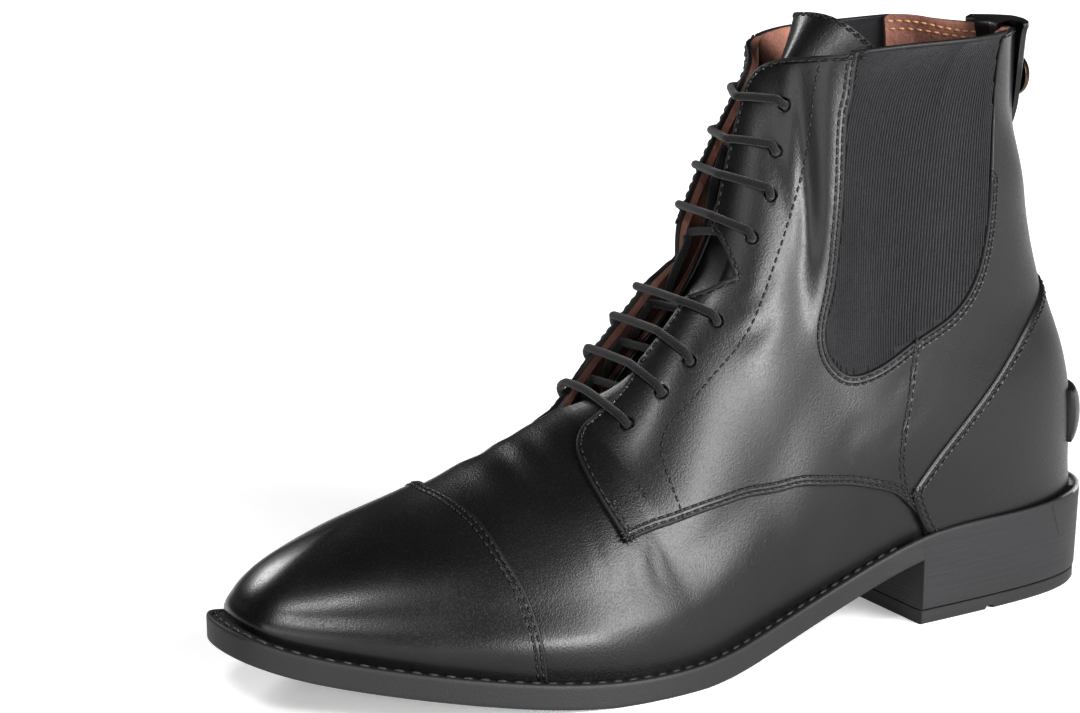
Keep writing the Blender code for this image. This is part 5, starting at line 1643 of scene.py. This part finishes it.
def spur_rest():
    sections = np.linspace(*SPUR_SECTIONS, SPUR_STEPS)
    turns = np.linspace(*SPUR_TURNS, SPUR_STEPS)
    half_round = np.sqrt(np.clip(1 - np.linspace(-1, 1, SPUR_STEPS) ** 2, 0, 1))
    taper = np.sqrt(np.linspace(0, 1, SPUR_STEPS))[:, None]
    stand = SPUR_EDGE + (SPUR_STAND_OFF - SPUR_EDGE) * half_round * taper
    rings = []
    for side, order in ((LATERAL, range(SPUR_STEPS)), (MEDIAL, range(SPUR_STEPS - 2, -1, -1))):
        for i in order:
            outer = lifted(sections[i], turns, side, SPUR_BASE_LIFT + stand[i])
            inner = lifted(sections[i], turns, side, SPUR_BASE_LIFT)
            rings.append(np.concatenate([outer, inner[::-1]]))
    form = unmarked(ring_loft(rings, False))
    return finish_piece("spur_ledge", form, [LEATHER_LOOK], 60, "leather", "spur_rest")


spur_rest()


# Back tab
# A strap of leather sewn inside the collar at the back seam, folded over it, with a pointed end
# outside that the press stud holds down.
TAB_THICKNESS = 1.5
TAB_LIFT = 2.4
TAB_FLARE = 2.4
TAB_FLATNESS = 0.30
TAB_INNER_WIDTH = 0.45
TAB_EDGE = 18.6
TAB_FOLD = 0.6
TAB_FOLD_TURN = 0.97
TAB_TIP_TURN = 0.583
TAB_INSIDE_TURN = 0.72
TAB_ROWS = 26
TAB_INNER_ROWS = 12
TAB_COLUMNS = 21
TAB_CURL = 1.2
TAB_BEND_STEP = 15
# Width of the pointed end, as a share, at even steps of which the outer leg has TAB_TIP_STEPS
TAB_TIP = (0.30, 0.85, 1.0)
TAB_TIP_STEPS = 5


def tab_row(turn, lift, widths, rise):
    """Points across the tab at one turn: the inner side first, then the outer side."""
    sections = BACK - np.abs(widths) * (BACK - TAB_EDGE)
    sides = [lifted(sections, turn, side, lift) for side in SIDES]
    row = np.where((widths >= 0)[:, None], sides[0], sides[1])
    return row + np.array((0.0, 0.0, rise))


def tab_grid(depth):
    """The strap's visible face (depth 0) or the face that lies against the boot."""
    outside = np.linspace(TAB_TIP_TURN, TAB_FOLD_TURN, TAB_ROWS)
    tip = np.interp(np.linspace(0, TAB_TIP_STEPS, TAB_ROWS), range(len(TAB_TIP)), TAB_TIP)
    inside_turns = np.linspace(TAB_FOLD_TURN, TAB_INSIDE_TURN, TAB_INNER_ROWS)
    inner_lift = VAMP_LIFT - WALL - 2 * GAP - TAB_THICKNESS
    middle = (TAB_LIFT + TAB_FLARE + inner_lift) / 2
    bend = (TAB_LIFT + TAB_FLARE - inner_lift) / 2 - depth
    widths = np.linspace(-1, 1, TAB_COLUMNS)
    away = TAB_LIFT + TAB_FLARE * np.linspace(0, 1, TAB_ROWS) ** TAB_CURL - depth
    rows = [tab_row(turn, lift, width * widths, 0.0) for turn, width, lift in zip(outside, tip, away)]
    for angle in range(TAB_BEND_STEP, 180, TAB_BEND_STEP):
        swing = math.radians(angle)
        rise = TAB_FOLD + TAB_FLATNESS * bend * math.sin(swing)
        width = 1 - (1 - TAB_INNER_WIDTH) * smooth_step(angle / 180)
        rows.append(tab_row(1.0, middle + bend * math.cos(swing), width * widths, rise))
    rows += [tab_row(turn, inner_lift + depth, TAB_INNER_WIDTH * widths, 0.0) for turn in inside_turns]
    return np.array(rows)


def back_tab():
    form = two_faced(tab_grid(0.0), tab_grid(TAB_THICKNESS))
    return finish_piece("back_tab_leather", form, [LEATHER_LOOK, LEATHER_LOOK], 50, "leather", "back_tab")


back_tab()


# Snap cap
# The domed cap of the press stud on the tab, pressed from thin brass and bronzed dark.
# It is riveted through the strap's pointed end.
SNAP_TURN = 0.70
SNAP_FLARE = 0.35
SNAP_RADIUS = 6.5
SNAP_SIDES = 48
# Height over the strap and share of the radius, from the rim to the top of the dome
SNAP_PROFILE = ((0.0, 1.0), (0.3, 1.0), (1.2, 0.985), (1.8, 0.93), (2.25, 0.80), (2.55, 0.50), (2.65, 0.20))
BRONZE = (0.060, 0.045, 0.032, 1.0)
BRONZE_ROUGHNESS = (0.25, 0.4)


def bronze_material():
    made, tree, shader = new_material("bronzed_brass", Metallic=1.0)
    cloud = use_group(tree, CLOUDINESS, {"Cloud Size": 300.0, "Speckle Size": 1500.0})
    tone = remap(tree, cloud.outputs["Clouds"], *CLOUD_RANGE, 0.0, 1.0)
    tree.links.new(blend_colours(tree, tone, BRONZE, shaded(BRONZE, 2.0)), shader.inputs["Base Color"])
    rough = remap(tree, cloud.outputs["Speckle"], *CLOUD_RANGE, *BRONZE_ROUGHNESS)
    tree.links.new(rough, shader.inputs["Roughness"])
    return made


def snap_cap():
    seat = np.array([float(BACK)])
    turn = np.array([SNAP_TURN])
    normal = last_normal(seat, turn, LATERAL)[0]
    across = np.array((1.0, 0.0, 0.0))
    up = np.cross(normal, across)
    base = lifted(seat, turn, LATERAL, TAB_LIFT + SNAP_FLARE * TAB_FLARE)[0]
    angles = np.linspace(0, 2 * math.pi, SNAP_SIDES + 1)[:-1]
    ring = np.cos(angles)[:, None] * across + np.sin(angles)[:, None] * up
    rings = [base + height * normal + SNAP_RADIUS * share * ring for height, share in SNAP_PROFILE]
    form = ring_loft(rings, False)
    return finish_piece("press_stud_cap", form, [bronze_material()], 60, "metal", "snap_cap")


snap_cap()


# Leather stitches
# All rows of black polyester thread in the upper, each stitch pulled down into the leather.
# Inside, two rows of tan thread hold the lining below the collar.
TAN = (0.30, 0.17, 0.085, 1.0)
LEATHER_PITCH = 2.7
LEATHER_STITCH = (2.25, 0.85)

stitches("leather_stitches", STITCH_LINES, LEATHER_PITCH, LEATHER_STITCH, WAXED_THREAD)
stitches("lining_stitches", LINING_LINES, LEATHER_PITCH, LEATHER_STITCH, thread_material("tan_thread", TAN))


# Studio
# A pale floor that fills the picture, soft lights, and the camera at the photo's place.
# The floor glows more the further it is from the boot, so that it is pale up to its edge.
FLOOR_SIZE = 12.0
GLOW_REACH = (0.45, 1.6)
NEAR_GLOW = (0.28, 0.28, 0.28, 1.0)
GLOW_STRENGTH = 1.2
WORLD_STRENGTH = 0.10
PRINT_GAMMA = 0.80
PAPER = (0.93, 0.93, 0.93, 1.0)
LIGHTS = (
    ("side", (1.27, 0.68, 0.74), (0.80, 0.80), 36.0),
    ("strip", (1.44, 0.12, 0.22), (0.45, 0.42), 20.0),
    ("rim", (-1.15, -0.42, 0.86), (0.45, 0.45), 9.0),
    ("front", (0.84, -0.78, 1.05), (0.25, 0.25), 8.0),
    ("fill", (0.90, -1.20, 0.35), (1.00, 0.60), 8.0),
)
LAMP_TARGET = (0.0, 0.0, 0.08)
LENS = 89.87
EYE = (0.6711, -0.3903, 0.2517)
TARGET = (-0.0040, -0.0015, 0.070)
SHIFT = (-0.1229, 0.0462)


def paper_floor():
    form = bmesh.new()
    half = FLOOR_SIZE / 2
    corners = ((-half, -half, 0), (half, -half, 0), (half, half, 0), (-half, half, 0))
    form.faces.new([form.verts.new(p) for p in corners])
    mesh = bpy.data.meshes.new("floor")
    form.to_mesh(mesh)
    form.free()
    floor = bpy.data.objects.new("floor", mesh)
    bpy.context.scene.collection.objects.link(floor)
    made, tree, shader = new_material("floor_paper", Roughness=0.9, Specular_IOR_Level=0.1)
    tone = noise(tree, stretched(tree), 3.0, 2.0)
    tree.links.new(blend_colours(tree, tone, PAPER, shaded(PAPER, 1.02)), shader.inputs["Base Color"])
    far = node(tree, "ShaderNodeVectorMath", {0: stretched(tree)}, operation="LENGTH").outputs["Value"]
    glow = remap(tree, far, *GLOW_REACH, 0.0, 1.0)
    tree.links.new(blend_colours(tree, glow, NEAR_GLOW, PAPER), shader.inputs["Emission Color"])
    shader.inputs["Emission Strength"].default_value = GLOW_STRENGTH
    mesh.materials.append(made)


def studio():
    paper_floor()
    for name, place, size, power in LIGHTS:
        light = bpy.data.lights.new(name, "AREA")
        light.energy = power
        light.shape = "RECTANGLE"
        light.size, light.size_y = size
        lamp = bpy.data.objects.new(name, light)
        lamp.location = place
        lamp.rotation_euler = (Vector(LAMP_TARGET) - lamp.location).to_track_quat("-Z", "Y").to_euler()
        bpy.context.scene.collection.objects.link(lamp)
    world = bpy.data.worlds.new("studio")
    world.use_nodes = True
    sky = world.node_tree.nodes["Background"]
    sky.inputs["Color"].default_value = (1.0, 1.0, 1.0, 1.0)
    sky.inputs["Strength"].default_value = WORLD_STRENGTH
    bpy.context.scene.world = world
    bpy.context.scene.view_settings.view_transform = "Standard"
    bpy.context.scene.view_settings.gamma = PRINT_GAMMA
    camera = bpy.data.objects.new("camera", bpy.data.cameras.new("camera"))
    camera.data.lens = LENS
    camera.location = EYE
    camera.rotation_euler = (Vector(TARGET) - camera.location).to_track_quat("-Z", "Y").to_euler()
    camera.data.shift_x, camera.data.shift_y = SHIFT
    bpy.context.scene.collection.objects.link(camera)
    bpy.context.scene.camera = camera


studio()
